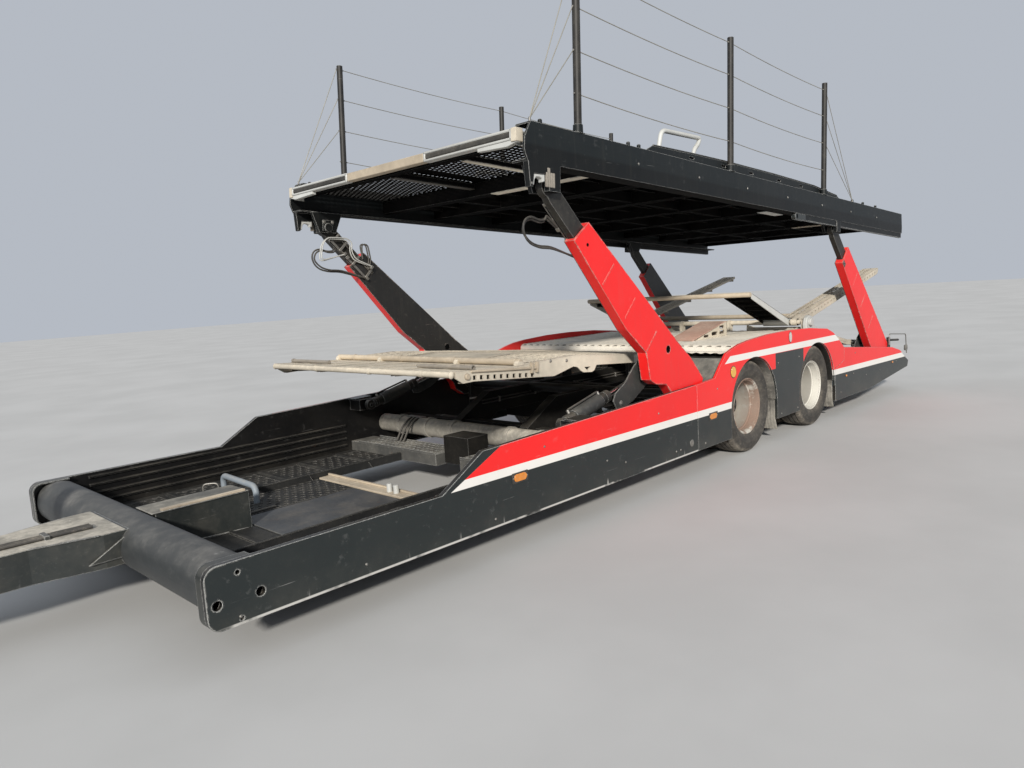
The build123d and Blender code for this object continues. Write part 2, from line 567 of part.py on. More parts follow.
# ----------------------------------------------------------- middle platform
MID = (MID_X, MID_Z, MID_TILT)
MID_PLANE = tilted(MID_X, MID_Z, MID_TILT)
with BuildPart() as mid_platform:
    # sheet: level behind, sloping down to the front, narrower at the rear
    plate(-960, 960, [(860, 37), (1530, 37), (1895, 2), (2042, -22), (2588, -42), (2588, -34), (2042, -14), (1895, 10), (1533, 45), (860, 45)],
          x=MID_X, z=MID_Z, tilt=MID_TILT)
    slab(MID_PLANE, 20, 860, -850, 850, 37, 45)
    # side members
    for s0, s1 in ((960, 1000), (-1000, -960)):
        plate(s0, s1, [(860, -20), (1549, -31), (1742, -88), (2444, -94), (2531, -104), (2588, -74), (2588, -34),
                       (2042, -14), (1895, 10), (1533, 45), (860, 45)], x=MID_X, z=MID_Z, tilt=MID_TILT)
    for s0, s1 in ((400, 450), (-450, -400)):
        plate(s0, s1, [(-30, -30), (30, -36), (900, -30), (2588, -80), (2588, -42), (2042, -22), (1895, 2), (1530, 37), (-30, 37)],
              x=MID_X, z=MID_Z, tilt=MID_TILT)
    # cross members under the sheet: x, low, high
    for cx, low, high in ((60, -10, 37), (880, -10, 37), (1250, -10, 37), (1700, -10, 22), (2180, -68, -26)):
        slab(MID_PLANE, cx - 20, cx + 20, -960 if cx > 800 else -850, 960 if cx > 800 else 850, low, high)
    # saddles of the upper cross bar
    for s0, s1 in ((405, 445), (-445, -405), (962, 998), (-998, -962)):
        slab(MID_PLANE, 2022, 2078, s0, s1, -30, 14)
    rod_local(MID, 2050, 8, 20.5, -1010, 1010, Mode.SUBTRACT)
    rod_y(MID_X, MID_Z, 25.0, -450, 450)
    # gap for each hinge ear
    for s0, s1 in ((340, 380), (-380, -340)):
        slab(MID_PLANE, -80, 90, s0, s1, -80, 60, Mode.SUBTRACT)
    rod_y(MID_X, MID_Z, 25.0, -450, 450)

# round bars across the front of the platform: x, height, radius
BARS = [(2606, -54, 18), (2050, 8, 20)]
with BuildPart() as platform_bars:
    for bx, bz, br in BARS:
        rod_local(MID, bx, bz, br, -1000, 1000)

# ------------------------------------------------------------------ rear bed
BED = (HINGE_X, HINGE_Z, REAR_BED_TILT)
# the bed runs to the rear, so its own x counts backwards from the hinge
BED_PLANE = Plane(origin=(AXLE_X + HINGE_X, 0, HINGE_Z), x_dir=(-cos(radians(REAR_BED_TILT)), 0, sin(radians(REAR_BED_TILT))),
                  z_dir=(sin(radians(REAR_BED_TILT)), 0, cos(radians(REAR_BED_TILT))))


def bed_plate(y_low, y_high, points):
    t = radians(REAR_BED_TILT)
    with BuildSketch(Plane(origin=(AXLE_X + HINGE_X, y_low, HINGE_Z), x_dir=(-cos(t), 0, sin(t)), z_dir=(0, 1, 0))) as face:
        outline(points)
    extrude(face.sketch, amount=y_high - y_low, dir=(0, 1, 0))


with BuildPart() as rear_bed:
    for s0, s1 in ((950, 1010), (-1010, -950)):
        bed_plate(s0, s1, [(-32, -30), (60, -40), (700, -40), (2300, -30), (2340, 0), (2340, 34), (-20, 34)])
    # tie between the two tracks
    slab(BED_PLANE, 225, 275, -950, 950, -25, 25)
    # narrow tread ledges of the two tracks, on short ribs
    for p0, p1 in ((840, 950), (-950, -840)):
        slab(BED_PLANE, 65, 2335, p0, p1, 26, 34)
        for cx in (90, 600, 1150, 1700, 2290):
            slab(BED_PLANE, cx - 25, cx + 25, p0 + 10 if p0 > 0 else p0, p1 if p0 > 0 else p1 - 10, -25, 26)
    # hinge knuckles round the hinge tube
    for k0, k1 in ((950, 1010), (-1010, -950)):
        rod_y(HINGE_X, HINGE_Z, 36, k0, k1)
    rod_y(HINGE_X, HINGE_Z, 24.5, -1100, 1100, Mode.SUBTRACT)

# two wheel flaps in front of the hinge tube, joined by their top bar, raised
with BuildPart() as wheel_flap:
    t = radians(20.5)
    flap = Plane(origin=(AXLE_X + HINGE_X, 0, HINGE_Z), x_dir=(cos(t), 0, sin(t)), z_dir=(-sin(t), 0, cos(t)))
    slab(flap, 40, 870, 660, 935, 10, 20)
    # folded edges
    slab(flap, 0, 870, 660, 672, -20, 10)
    slab(flap, 0, 870, 923, 935, -20, 10)
    rod_y(HINGE_X, HINGE_Z, 36, 660, 935)
    both()
    # top bar over the whole width
    with BuildSketch(Plane(origin=(AXLE_X + HINGE_X + 890 * cos(t), -935, HINGE_Z + 890 * sin(t)), x_dir=(1, 0, 0), z_dir=(0, -1, 0))):
        Circle(22)
    extrude(amount=-1870)
    rod_y(HINGE_X, HINGE_Z, 24.5, -1000, 1000, Mode.SUBTRACT)

# --------------------------------------------------------------------- files
NODES = {
    "side_beam_left": side_beam_left, "side_beam_right": side_beam_right,
    "fender_left": fender_left, "fender_right": fender_right,
    "rear_panel_left": rear_panel_left, "rear_panel_right": rear_panel_right,
    "marker_lamps": marker_lamps, "front_cross_tube": front_cross_tube, "drawbar": drawbar, "towing_eye": towing_eye,
    "centre_spine": centre_spine, "well_tracks": well_tracks, "well_floor": well_floor,
    "well_crossbeam": well_crossbeam, "torsion_tube": torsion_tube, "frame_rails": frame_rails,
    "frame_crossmembers": frame_crossmembers, "frame_outriggers": frame_outriggers, "bearing_plates": bearing_plates,
    "axle_front": axle_parts["axle_front"], "axle_rear": axle_parts["axle_rear"],
    "suspension": suspension, "bogie_deck": bogie_deck, "hinge_tube": hinge_tube,
    "rear_tracks": rear_tracks, "rear_bumper": rear_bumper, "mudflaps": mudflaps,
    "jack_housing": jack_housing, "jack_leg": jack_leg,
    "front_arms": front_arms, "rear_arms": rear_arms,
    "front_slide_tubes": slide_parts["front_slide_tubes"], "rear_slide_tubes": slide_parts["rear_slide_tubes"],
    "front_ram_barrels": ram_parts["front"][0], "front_ram_rods": ram_parts["front"][1],
    "rear_ram_barrels": ram_parts["rear"][0], "rear_ram_rods": ram_parts["rear"][1],
    "deck_beam_left": deck_beam_left, "deck_beam_right": deck_beam_right,
    "deck_cross_members": deck_cross_members, "deck_runners": deck_runners, "deck_plates": deck_plates, "deck_front_lip": deck_front_lip,
    "deck_boards": deck_boards, "deck_posts": deck_posts,
    "mid_platform": mid_platform, "platform_bars": platform_bars,
    "rear_bed": rear_bed, "wheel_flap": wheel_flap,
}
for wheel, (tyres, rims) in wheel_parts.items():
    NODES[wheel + "_tyres"] = tyres
    NODES[wheel + "_rims"] = rims

for node_name, builder in NODES.items():
    save(node_name, builder)
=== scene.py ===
import bpy
import math
import random
from mathutils import Matrix, Vector
from mathutils.geometry import tessellate_polygon


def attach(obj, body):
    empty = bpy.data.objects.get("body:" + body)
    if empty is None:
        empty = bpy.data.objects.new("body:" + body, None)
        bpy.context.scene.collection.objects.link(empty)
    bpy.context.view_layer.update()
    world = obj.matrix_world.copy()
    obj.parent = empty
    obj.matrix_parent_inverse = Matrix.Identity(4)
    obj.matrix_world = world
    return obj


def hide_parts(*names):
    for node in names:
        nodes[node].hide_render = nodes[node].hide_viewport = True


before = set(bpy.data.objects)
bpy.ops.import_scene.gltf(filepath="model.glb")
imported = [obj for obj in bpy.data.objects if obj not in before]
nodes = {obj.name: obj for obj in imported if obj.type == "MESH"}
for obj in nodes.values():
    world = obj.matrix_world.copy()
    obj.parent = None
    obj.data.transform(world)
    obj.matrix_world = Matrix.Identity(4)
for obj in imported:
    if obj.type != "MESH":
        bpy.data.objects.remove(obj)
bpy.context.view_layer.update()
rnd = random.Random(7)

AX = -1.320                 # front axle in the part's frame; tables below count x from it
TILT = math.radians(3.0)    # upper deck
DECK_Z = 2.046
MID = (0.450, 0.840, math.radians(5.2))
BED = (-1.490, 0.985, math.radians(11.0))
FLAP = math.radians(20.5)
ARM = math.atan2(1.440, 1.420)


# ------------------------------------------------------------- coordinate sets
def P(x, y, z):
    return Vector((x + AX, y, z))


def side(u, v, w):
    """u forward, v up, w to the left."""
    return P(u, w, v)


def across(u, v, w):
    """u to the left, v up, w forward."""
    return P(w, u, v)


def turned(x0, z0, angle, back=False):
    """A tilted set of axes: x up the slope, y left, z off the slope."""
    c, s = math.cos(angle), math.sin(angle)
    if back:
        return lambda x, y, z: P(x0 - x * c + z * s, y, z0 + x * s + z * c)
    return lambda x, y, z: P(x0 + x * c - z * s, y, z0 + x * s + z * c)


deck = turned(0.0, DECK_Z, TILT)
mid = turned(*MID)
bed = turned(*BED, back=True)
flap = turned(BED[0], BED[1], FLAP)
front_arm = turned(0.980, 0.620, ARM)
rear_arm = turned(-3.300, 0.440, ARM)


def sideways(place):
    """The same axes for a side view outline: u along, v off the slope, w left."""
    return lambda u, v, w: place(u, w, v)


def endways(place):
    """The same axes for a section: u left, v off the slope, w along."""
    return lambda u, v, w: place(w, u, v)


# ------------------------------------------------------------------ materials
class Net:
    """Short names for building a node material."""

    def __init__(self, name):
        self.mat = bpy.data.materials.new(name)
        self.mat.use_nodes = True
        self.t = self.mat.node_tree
        self.t.nodes.clear()
        self.out = self.t.nodes.new("ShaderNodeOutputMaterial")
        self.bsdf = self.t.nodes.new("ShaderNodeBsdfPrincipled")
        self.t.links.new(self.bsdf.outputs[0], self.out.inputs["Surface"])
        self.coord = self.t.nodes.new("ShaderNodeTexCoord").outputs["Object"]
        self.sep = self.t.nodes.new("ShaderNodeSeparateXYZ")
        self.t.links.new(self.coord, self.sep.inputs[0])
        geo = self.t.nodes.new("ShaderNodeNewGeometry")
        self.normal = geo.outputs["Normal"]
        self.nsep = self.t.nodes.new("ShaderNodeSeparateXYZ")
        self.t.links.new(self.normal, self.nsep.inputs[0])
        self.x = self.math("SUBTRACT", self.sep.outputs[0], AX)
        self.y = self.math("ABSOLUTE", self.sep.outputs[1])
        self.z = self.sep.outputs[2]

    def put(self, node, key, value):
        if hasattr(value, "is_output"):
            self.t.links.new(value, node.inputs[key])
        elif isinstance(value, (tuple, list)):
            node.inputs[key].default_value = tuple(value) + (1.0,) * (4 - len(value)) if len(node.inputs[key].default_value) == 4 else tuple(value)
        else:
            node.inputs[key].default_value = value

    def noise(self, scale, detail=4.0, rough=0.55, stretch=(1, 1, 1), seed=0.0, distort=0.0):
        m = self.t.nodes.new("ShaderNodeMapping")
        m.inputs["Scale"].default_value = stretch
        m.inputs["Location"].default_value = (seed, seed * 1.7, seed * 0.3)
        self.t.links.new(self.coord, m.inputs["Vector"])
        n = self.t.nodes.new("ShaderNodeTexNoise")
        n.inputs["Scale"].default_value = scale
        n.inputs["Detail"].default_value = detail
        n.inputs["Roughness"].default_value = rough
        n.inputs["Distortion"].default_value = distort
        self.t.links.new(m.outputs[0], n.inputs["Vector"])
        return n.outputs["Fac"]

    def math(self, op, a, b=0.0, c=None, clamp=False):
        n = self.t.nodes.new("ShaderNodeMath")
        n.operation = op
        n.use_clamp = clamp
        self.put(n, 0, a)
        self.put(n, 1, b)
        if c is not None:
            self.put(n, 2, c)
        return n.outputs[0]

    def times(self, *values):
        out = values[0]
        for v in values[1:]:
            out = self.math("MULTIPLY", out, v)
        return out

    def ramp(self, value, low, high, out_low=0.0, out_high=1.0):
        n = self.t.nodes.new("ShaderNodeMapRange")
        n.interpolation_type = "SMOOTHSTEP"
        self.put(n, "Value", value)
        self.put(n, "From Min", low)
        self.put(n, "From Max", high)
        self.put(n, "To Min", out_low)
        self.put(n, "To Max", out_high)
        return n.outputs[0]

    def over(self, value, limit, soft=0.0012):
        """1 where value is over the limit, which may be a number or a line."""
        gap = self.math("SUBTRACT", value, limit)
        return self.ramp(gap, -soft, soft)

    def line(self, at_zero, slope, value=None):
        return self.math("ADD", self.math("MULTIPLY", self.x if value is None else value, slope), at_zero)

    def mix(self, fac, a, b):
        n = self.t.nodes.new("ShaderNodeMix")
        n.data_type = "RGBA"
        self.put(n, "Factor", fac)
        for key, value in ((6, a), (7, b)):
            if hasattr(value, "is_output"):
                self.t.links.new(value, n.inputs[key])
            else:
                n.inputs[key].default_value = (*value, 1.0)
        return n.outputs[2]

    def edge(self, radius=0.006, low=0.02, high=0.18):
        """Mask that is 1 at worn corners."""
        b = self.t.nodes.new("ShaderNodeBevel")
        b.samples = 4
        b.inputs["Radius"].default_value = radius
        d = self.t.nodes.new("ShaderNodeVectorMath")
        d.operation = "DOT_PRODUCT"
        self.t.links.new(b.outputs[0], d.inputs[0])
        self.t.links.new(self.normal, d.inputs[1])
        gap = self.math("SUBTRACT", 1.0, d.outputs["Value"])
        return self.ramp(gap, low, high)

    def bump(self, height, strength=0.3, distance=0.01, radius=None):
        n = self.t.nodes.new("ShaderNodeBump")
        n.inputs["Strength"].default_value = strength
        n.inputs["Distance"].default_value = distance
        self.t.links.new(height, n.inputs["Height"])
        if radius:
            b = self.t.nodes.new("ShaderNodeBevel")
            b.samples = 4
            b.inputs["Radius"].default_value = radius
            self.t.links.new(b.outputs[0], n.inputs["Normal"])
        self.t.links.new(n.outputs[0], self.bsdf.inputs["Normal"])

    def set(self, **kw):
        for key, value in kw.items():
            self.put(self.bsdf, {"color": "Base Color", "rough": "Roughness", "metal": "Metallic", "coat": "Coat Weight",
                                 "coat_rough": "Coat Roughness", "spec": "Specular IOR Level", "emit": "Emission Color",
                                 "emit_strength": "Emission Strength", "trans": "Transmission Weight", "ior": "IOR"}[key], value)


def weathered(name, base, rough=0.45, metal=0.0, coat=0.0, dust=(0.40, 0.36, 0.29), dust_top=0.3, dust_all=0.05,
              dust_low=0.0, wear=0.0, wear_color=(0.55, 0.55, 0.53), rust=0.0, bump=0.15, scale=1.0, vary=0.12,
              edge=0.004, color_fn=None, low_from=0.1, low_to=0.7, streaks=0.0, rust_fn=None, dust_fn=None, edge_rust=0.0, spec=0.5,
              shade=0.0):
    """A painted or galvanised surface with tone, dust, scratches, streaks, worn corners and rust; with shade, faces
    that look down get painted shade.
    """
    n = Net(name)
    color = color_fn(n) if color_fn else None
    tone = n.noise(1.3 * scale, 5, 0.6)
    fine = n.noise(34 * scale, 5, 0.65, seed=3.0)
    grain = n.noise(210 * scale, 3, 0.6, seed=5.0)
    dark = tuple(c * (1.0 - vary * 1.6) for c in base)
    light = tuple(min(1.0, c * (1.0 + vary)) for c in base)
    if color is None:
        color = n.mix(n.ramp(tone, 0.3, 0.7), dark, light)
    else:
        color = n.mix(n.times(n.ramp(tone, 0.35, 0.75), vary), color, (0.02, 0.02, 0.02))
    # fine speckle of dirt
    speck = n.ramp(n.math("MULTIPLY", fine, grain), 0.30, 0.42)
    color = n.mix(n.math("MULTIPLY", speck, min(1.0, dust_all * 2.0)), color, dust)
    # dust film everywhere, thicker on top and low down
    film = n.ramp(n.noise(4.5 * scale, 6, 0.62, seed=9.0), 0.38, 0.68)
    up = n.ramp(n.nsep.outputs[2], 0.25, 0.85)
    amount = n.math("ADD", n.math("MULTIPLY", up, dust_top), dust_all)
    if dust_low:
        amount = n.math("ADD", amount, n.ramp(n.z, low_to, low_from, 0.0, dust_low))
    if dust_fn:
        amount = n.math("ADD", amount, dust_fn(n))
    amount = n.math("MULTIPLY", amount, n.math("ADD", n.math("MULTIPLY", film, 0.9), 0.35), clamp=True)
    color = n.mix(amount, color, n.mix(n.ramp(fine, 0.3, 0.7), tuple(c * 0.7 for c in dust), dust))
    if streaks:
        run = n.ramp(n.noise(9 * scale, 4, 0.6, stretch=(3.2, 3.2, 0.16), seed=2.0), 0.52, 0.72)
        color = n.mix(n.math("MULTIPLY", run, streaks), color, tuple(c * 0.45 for c in dust))
    rough_value = n.math("ADD", n.math("MULTIPLY", amount, 0.45), n.math("ADD", n.math("MULTIPLY", fine, 0.16), rough - 0.08), clamp=True)
    if wear:
        corner = n.edge(edge * 1.8)
        chips = n.ramp(n.math("ADD", n.noise(17 * scale, 6, 0.7, seed=12.0), n.math("MULTIPLY", corner, 0.34)), 0.60, 0.68)
        chips = n.math("MULTIPLY", n.math("MULTIPLY", chips, n.math("ADD", n.math("MULTIPLY", corner, 0.94), 0.06)), min(1.0, wear), clamp=True)
        worn = n.mix(n.ramp(n.noise(60 * scale, 4, seed=4.0), 0.35, 0.65), wear_color, tuple(c * 0.55 for c in wear_color))
        color = n.mix(chips, color, worn)
        lines = n.ramp(n.noise(26 * scale, 3, 0.5, stretch=(0.12, 0.4, 5.0), seed=7.0), 0.72, 0.78)
        color = n.mix(n.math("MULTIPLY", lines, 0.3 * min(1.0, wear)), color, wear_color)
    if rust or rust_fn or edge_rust:
        spot = n.ramp(n.noise(7.5 * scale, 8, 0.72, seed=21.0), 0.66 - rust * 0.22, 0.76 - rust * 0.12)
        if edge_rust:
            spot = n.math("ADD", spot, n.times(n.edge(edge * 2.5), edge_rust, n.ramp(n.noise(11, 5, 0.7, seed=31.0), 0.42, 0.6)), clamp=True)
        if rust_fn:
            spot = n.math("ADD", spot, rust_fn(n), clamp=True)
        stain = n.mix(n.ramp(grain, 0.3, 0.7), (0.20, 0.075, 0.028), (0.09, 0.038, 0.018))
        color = n.mix(n.math("MULTIPLY", spot, min(1.0, 0.35 + rust + (0.4 if rust_fn else 0.0))), color, stain)
        rough_value = n.math("MAXIMUM", rough_value, n.math("MULTIPLY", spot, 0.85))
    if shade:
        # painted shade: faces that look down are darkened and made rougher
        down = n.ramp(n.nsep.outputs[2], -0.3, -0.75, 0.0, shade)
        color = n.mix(down, color, tuple(c * 0.12 for c in base))
        rough_value = n.math("MAXIMUM", rough_value, down)
    n.set(color=color, rough=rough_value, metal=metal, coat=coat, coat_rough=0.12, spec=spec)
    height = n.math("ADD", n.math("MULTIPLY", fine, 0.6), n.math("MULTIPLY", grain, 0.4))
    n.bump(height, bump, 0.004, edge)
    return n.mat


RED = (0.82, 0.012, 0.012)
DARK = (0.0120, 0.0168, 0.0175)
BLACK = (0.0045, 0.0045, 0.005)
WHITE = (0.78, 0.76, 0.72)


# Faces behind the outer face get a near-black colour: painted shade on the inner faces.
def outer_only(n, color, inside_painted_shade=(0.0030, 0.0030, 0.0034), face=1.262):
    return n.mix(n.over(n.y, face, 0.002), inside_painted_shade, color)


def beam_color(n):
    """Red over a white stripe over dark, ending at a slant in front."""
    front = n.over(n.line(3.254 + 0.506 * 2.17, -2.17, n.z), n.x)
    above = n.times(n.over(n.z, n.line(0.4823, 0.0073)), front)
    stripe = n.times(n.over(n.z, n.line(0.4298, 0.0087)), front)
    c = n.mix(stripe, DARK, WHITE)
    c = n.mix(above, c, RED)
    # bare lower edge and runs of light dirt down to it
    bare = n.times(n.math("SUBTRACT", 1.0, n.ramp(n.z, 0.199, 0.204)), n.ramp(n.noise(3.1, 4, 0.6, seed=51.0), 0.40, 0.52))
    runs = n.times(n.math("SUBTRACT", 1.0, n.ramp(n.z, 0.20, 0.245)), n.ramp(n.noise(21.0, 3, 0.5, stretch=(1, 1, 0.05), seed=53.0), 0.64, 0.70), 0.7)
    # chipped corners at the front end
    chips = n.times(n.over(n.x, 4.42, 0.08), n.edge(0.016, 0.03, 0.25), n.ramp(n.noise(42.0, 5, 0.7, seed=57.0), 0.44, 0.54))
    c = n.mix(n.math("MAXIMUM", bare, runs), c, (0.50, 0.49, 0.46))
    return n.mix(chips, outer_only(n, c), (0.46, 0.45, 0.42))


def fender_color(n):
    """Hood: red with a white stripe, the lower stripe in front, a dark skirt between the wheels."""
    low_white = n.over(n.z, n.line(0.4298, 0.0087))
    low_red = n.over(n.z, n.line(0.4823, 0.0073))
    c = n.mix(low_white, DARK, WHITE)
    c = n.mix(low_red, c, RED)
    # stripe along the hood
    top = n.math("SUBTRACT", n.line(0.8465, 0.0067), n.z)
    bottom = n.math("MINIMUM", n.math("SUBTRACT", n.z, n.line(0.7955, 0.0125)), 9.0)
    bottom = n.math("MAXIMUM", bottom, n.math("SUBTRACT", n.z, 0.796))
    start = n.over(n.line(0.466 + 0.80 * 1.66, -1.66, n.z), n.x)
    c = n.mix(n.times(n.ramp(top, -0.0012, 0.0012), n.ramp(bottom, -0.0012, 0.0012), start), c, WHITE)
    # dark skirt
    between = n.times(n.over(n.x, -1.0), n.math("SUBTRACT", 1.0, n.over(n.x, -0.42)), n.math("SUBTRACT", 1.0, n.over(n.z, n.line(0.7925, 0.0125))))
    lower = n.times(n.over(n.x, -1.30), n.math("SUBTRACT", 1.0, n.over(n.x, -0.05)), n.math("SUBTRACT", 1.0, n.over(n.z, 0.655)))
    c = n.mix(n.math("MAXIMUM", between, lower), c, DARK)
    # behind the rear wheel the stripe of the rear panel goes on
    rear = n.math("SUBTRACT", 1.0, n.over(n.x, -1.70))
    r = n.mix(n.over(n.z, n.line(0.4683, 0.0207)), DARK, WHITE)
    r = n.mix(n.over(n.z, n.line(0.5216, 0.0197)), r, RED)
    r = n.mix(n.times(n.ramp(top, -0.0012, 0.0012), n.ramp(bottom, -0.0012, 0.0012)), r, WHITE)
    c = n.mix(rear, c, r)
    return n.mix(n.over(n.y, 1.2475, 0.001), (0.012, 0.012, 0.013), c)


def rear_color(n):
    c = n.mix(n.over(n.z, n.line(0.4683, 0.0207)), DARK, WHITE)
    return outer_only(n, n.mix(n.over(n.z, n.line(0.5216, 0.0197)), c, RED))


def arm_color(n):
    """Lift arms: black on the inner face, red elsewhere, chipped and rubbed at the corners near the foot."""
    c = n.mix(n.over(n.y, 1.160, 0.001), (0.012, 0.012, 0.012), RED)
    low = n.math("MAXIMUM", n.over(1.16, n.z, 0.10), n.times(n.over(n.z, 1.55, 0.15), 0.8))
    chips = n.times(low, n.edge(0.020, 0.02, 0.20), n.ramp(n.noise(30.0, 5, 0.75, seed=61.0), 0.45, 0.53))
    bare = n.mix(n.ramp(n.noise(19.0, 4, 0.6, seed=63.0), 0.45, 0.55), (0.035, 0.030, 0.028), (0.60, 0.53, 0.47))
    return n.mix(chips, c, bare)


def wheel_radius(n):
    """Distance from the nearest axle, in the side view."""
    dz = n.math("SUBTRACT", n.z, 0.388)
    out = []
    for cx in (0.0, -1.310):
        dx = n.math("SUBTRACT", n.x, cx)
        out.append(n.math("SQRT", n.math("ADD", n.times(dx, dx), n.times(dz, dz))))
    return n.math("MINIMUM", *out)


def rim_rust(n):
    """Front wheels: the barrel has gone brown in patches, the disc in spots."""
    r = wheel_radius(n)
    disc = n.times(n.math("SUBTRACT", 1.0, n.ramp(r, 0.188, 0.196)), n.ramp(n.noise(16.0, 5, 0.7, seed=41.0), 0.50, 0.58), 0.9)
    barrel = n.times(n.ramp(r, 0.194, 0.200), n.ramp(n.noise(5.0, 6, 0.72, seed=43.0), 0.36, 0.50), 0.95)
    front = n.over(n.x, -0.65)
    return n.times(n.math("MAXIMUM", disc, barrel), front)


def rim_color(n):
    """Cream with painted shade in fine rings along the steps of the barrel and in a band where the disc meets the
    barrel.
    """
    r = wheel_radius(n)
    ringed = n.ramp(n.math("SINE", n.math("MULTIPLY", r, 520.0)), 0.35, 0.95, 0.0, 0.28)
    low = n.times(n.ramp(r, 0.2020, 0.1975), n.ramp(r, 0.1900, 0.1960), 0.75)
    return n.mix(n.math("MAXIMUM", ringed, low), (0.66, 0.645, 0.58), (0.20, 0.19, 0.17))


def tyre_dust(n):
    """Dust in a ring at the shoulder and near the bead."""
    r = wheel_radius(n)
    shoulder = n.times(n.ramp(r, 0.345, 0.372), n.math("SUBTRACT", 1.0, n.ramp(r, 0.3865, 0.389)))
    bead = n.math("SUBTRACT", 1.0, n.ramp(r, 0.245, 0.285))
    return n.math("ADD", n.times(shoulder, 0.55), n.times(bead, 0.15))


M = {}
M["beam"] = weathered("side_beam_paint", RED, 0.38, coat=0.10, spec=0.4, dust_top=0.12, dust_all=0.008, dust_low=0.04, wear=1.0, bump=0.04,
                      color_fn=beam_color, low_from=0.17, low_to=0.35, vary=0.10)
M["fender"] = weathered("fender_paint", RED, 0.34, coat=0.16, spec=0.4, dust_top=0.10, dust_all=0.02, dust_low=0.06, wear=0.55, bump=0.035,
                        color_fn=fender_color, vary=0.08, low_to=0.4)
M["rear_panel"] = weathered("rear_panel_paint", RED, 0.36, coat=0.14, spec=0.4, dust_top=0.10, dust_all=0.02, dust_low=0.08, wear=0.8, bump=0.04,
                            color_fn=rear_color, vary=0.10, low_to=0.4)
M["arm"] = weathered("arm_paint", RED, 0.38, coat=0.12, spec=0.35, dust_top=0.10, dust_all=0.015, wear=0.9, wear_color=(0.52, 0.44, 0.38), bump=0.04,
                     color_fn=arm_color, vary=0.08, streaks=0.05)
M["dark"] = weathered("anthracite_paint", DARK, 0.42, coat=0.12, dust_top=0.22, dust_all=0.03, dust_low=0.05, wear=1.0, bump=0.05, vary=0.2)
M["tube"] = weathered("front_tube_paint", (0.026, 0.030, 0.032), 0.5, dust=(0.28, 0.27, 0.25), dust_top=0.34, dust_all=0.05, wear=0.7, bump=0.08, vary=0.1)
M["dusty_dark"] = weathered("dusty_anthracite", (0.045, 0.046, 0.045), 0.6, dust=(0.36, 0.34, 0.29), dust_top=0.6, dust_all=0.16,
                            wear=0.8, bump=0.12, vary=0.15, rust=0.05)
M["torsion"] = weathered("dusty_torsion_tube", (0.21, 0.20, 0.175), 0.7, dust=(0.56, 0.52, 0.44), dust_top=0.7, dust_all=0.45, wear=0.5, bump=0.15, vary=0.2)
def deck_fold_painted_light(n):
    """The deck beam's face is painted lighter above its fold and darker below it: a painted highlight above the fold,
    painted shade below.
    """
    fold = n.over(n.z, n.line(DECK_Z + 0.095, math.tan(TILT)), 0.012)
    return n.mix(fold, (0.0040, 0.0052, 0.0058), (0.0082, 0.0112, 0.0125))


M["deck_dark"] = weathered("deck_beam_paint", (0.0060, 0.0080, 0.0088), 0.48, dust_top=0.22, dust_all=0.006, wear=0.7, bump=0.05, vary=0.15,
                           streaks=0.03, spec=0.2, color_fn=deck_fold_painted_light, shade=1.0)
M["black"] = weathered("black_underbody", (0.011, 0.011, 0.011), 0.5, dust_top=0.25, dust_all=0.05, wear=0.5, rust=0.10, bump=0.12, spec=0.35)
M["frame"] = weathered("greasy_frame", (0.005, 0.0047, 0.0044), 0.75, dust_top=0.08, dust_all=0.02, wear=0.25, rust=0.12, bump=0.2, spec=0.2)
M["bay"] = weathered("bay_floor", (0.012, 0.013, 0.014), 0.6, dust=(0.18, 0.165, 0.135), dust_top=0.14, dust_all=0.06, wear=0.9, wear_color=(0.25, 0.24, 0.22),
                     rust=0.12, bump=0.2, vary=0.2, spec=0.3)
M["blue_plate"] = weathered("blue_grey_plate", (0.044, 0.051, 0.060), 0.5, dust=(0.28, 0.25, 0.21), dust_top=0.18, dust_all=0.10, wear=0.9,
                            wear_color=(0.25, 0.24, 0.22), rust=0.10, bump=0.2, vary=0.25, spec=0.35)
M["galv"] = weathered("dusty_galvanised", (0.60, 0.545, 0.445), 0.66, metal=0.05, dust=(0.80, 0.71, 0.56), dust_top=0.5, dust_all=0.22,
                      wear=0.8, wear_color=(0.24, 0.20, 0.16), rust=0.14, bump=0.35, vary=0.22)
M["galv_dark"] = weathered("dark_galvanised", (0.060, 0.058, 0.054), 0.6, metal=0.1, dust=(0.34, 0.31, 0.26), dust_top=0.30, dust_all=0.12,
                           wear=0.6, wear_color=(0.35, 0.33, 0.30), rust=0.22, bump=0.3, vary=0.3, spec=0.3)
M["primer"] = weathered("worn_primer", (0.56, 0.33, 0.25), 0.68, dust=(0.68, 0.50, 0.40), dust_top=0.45, dust_all=0.2,
                        wear=0.7, wear_color=(0.34, 0.30, 0.27), rust=0.10, bump=0.3, vary=0.2)
M["tan"] = weathered("tan_steel", (0.52, 0.44, 0.33), 0.62, metal=0.1, dust=(0.68, 0.59, 0.46), dust_top=0.4, dust_all=0.15,
                     wear=0.7, wear_color=(0.20, 0.16, 0.13), rust=0.22, bump=0.3, vary=0.25)
# light steel for sunlit flanges under the deck: painted light against the deck's shade
M["painted_light"] = weathered("painted_light_steel", (0.86, 0.80, 0.69), 0.6, dust=(0.8, 0.72, 0.6), dust_top=0.3, dust_all=0.1, wear=0.7, wear_color=(0.25, 0.2, 0.16), rust=0.10, bump=0.25, vary=0.2)
M["lip"] = weathered("deck_galvanised", (0.76, 0.72, 0.63), 0.62, dust=(0.92, 0.85, 0.72), dust_top=0.5, dust_all=0.2, wear=0.7, wear_color=(0.24, 0.20, 0.16),
                     rust=0.06, bump=0.35, vary=0.2)
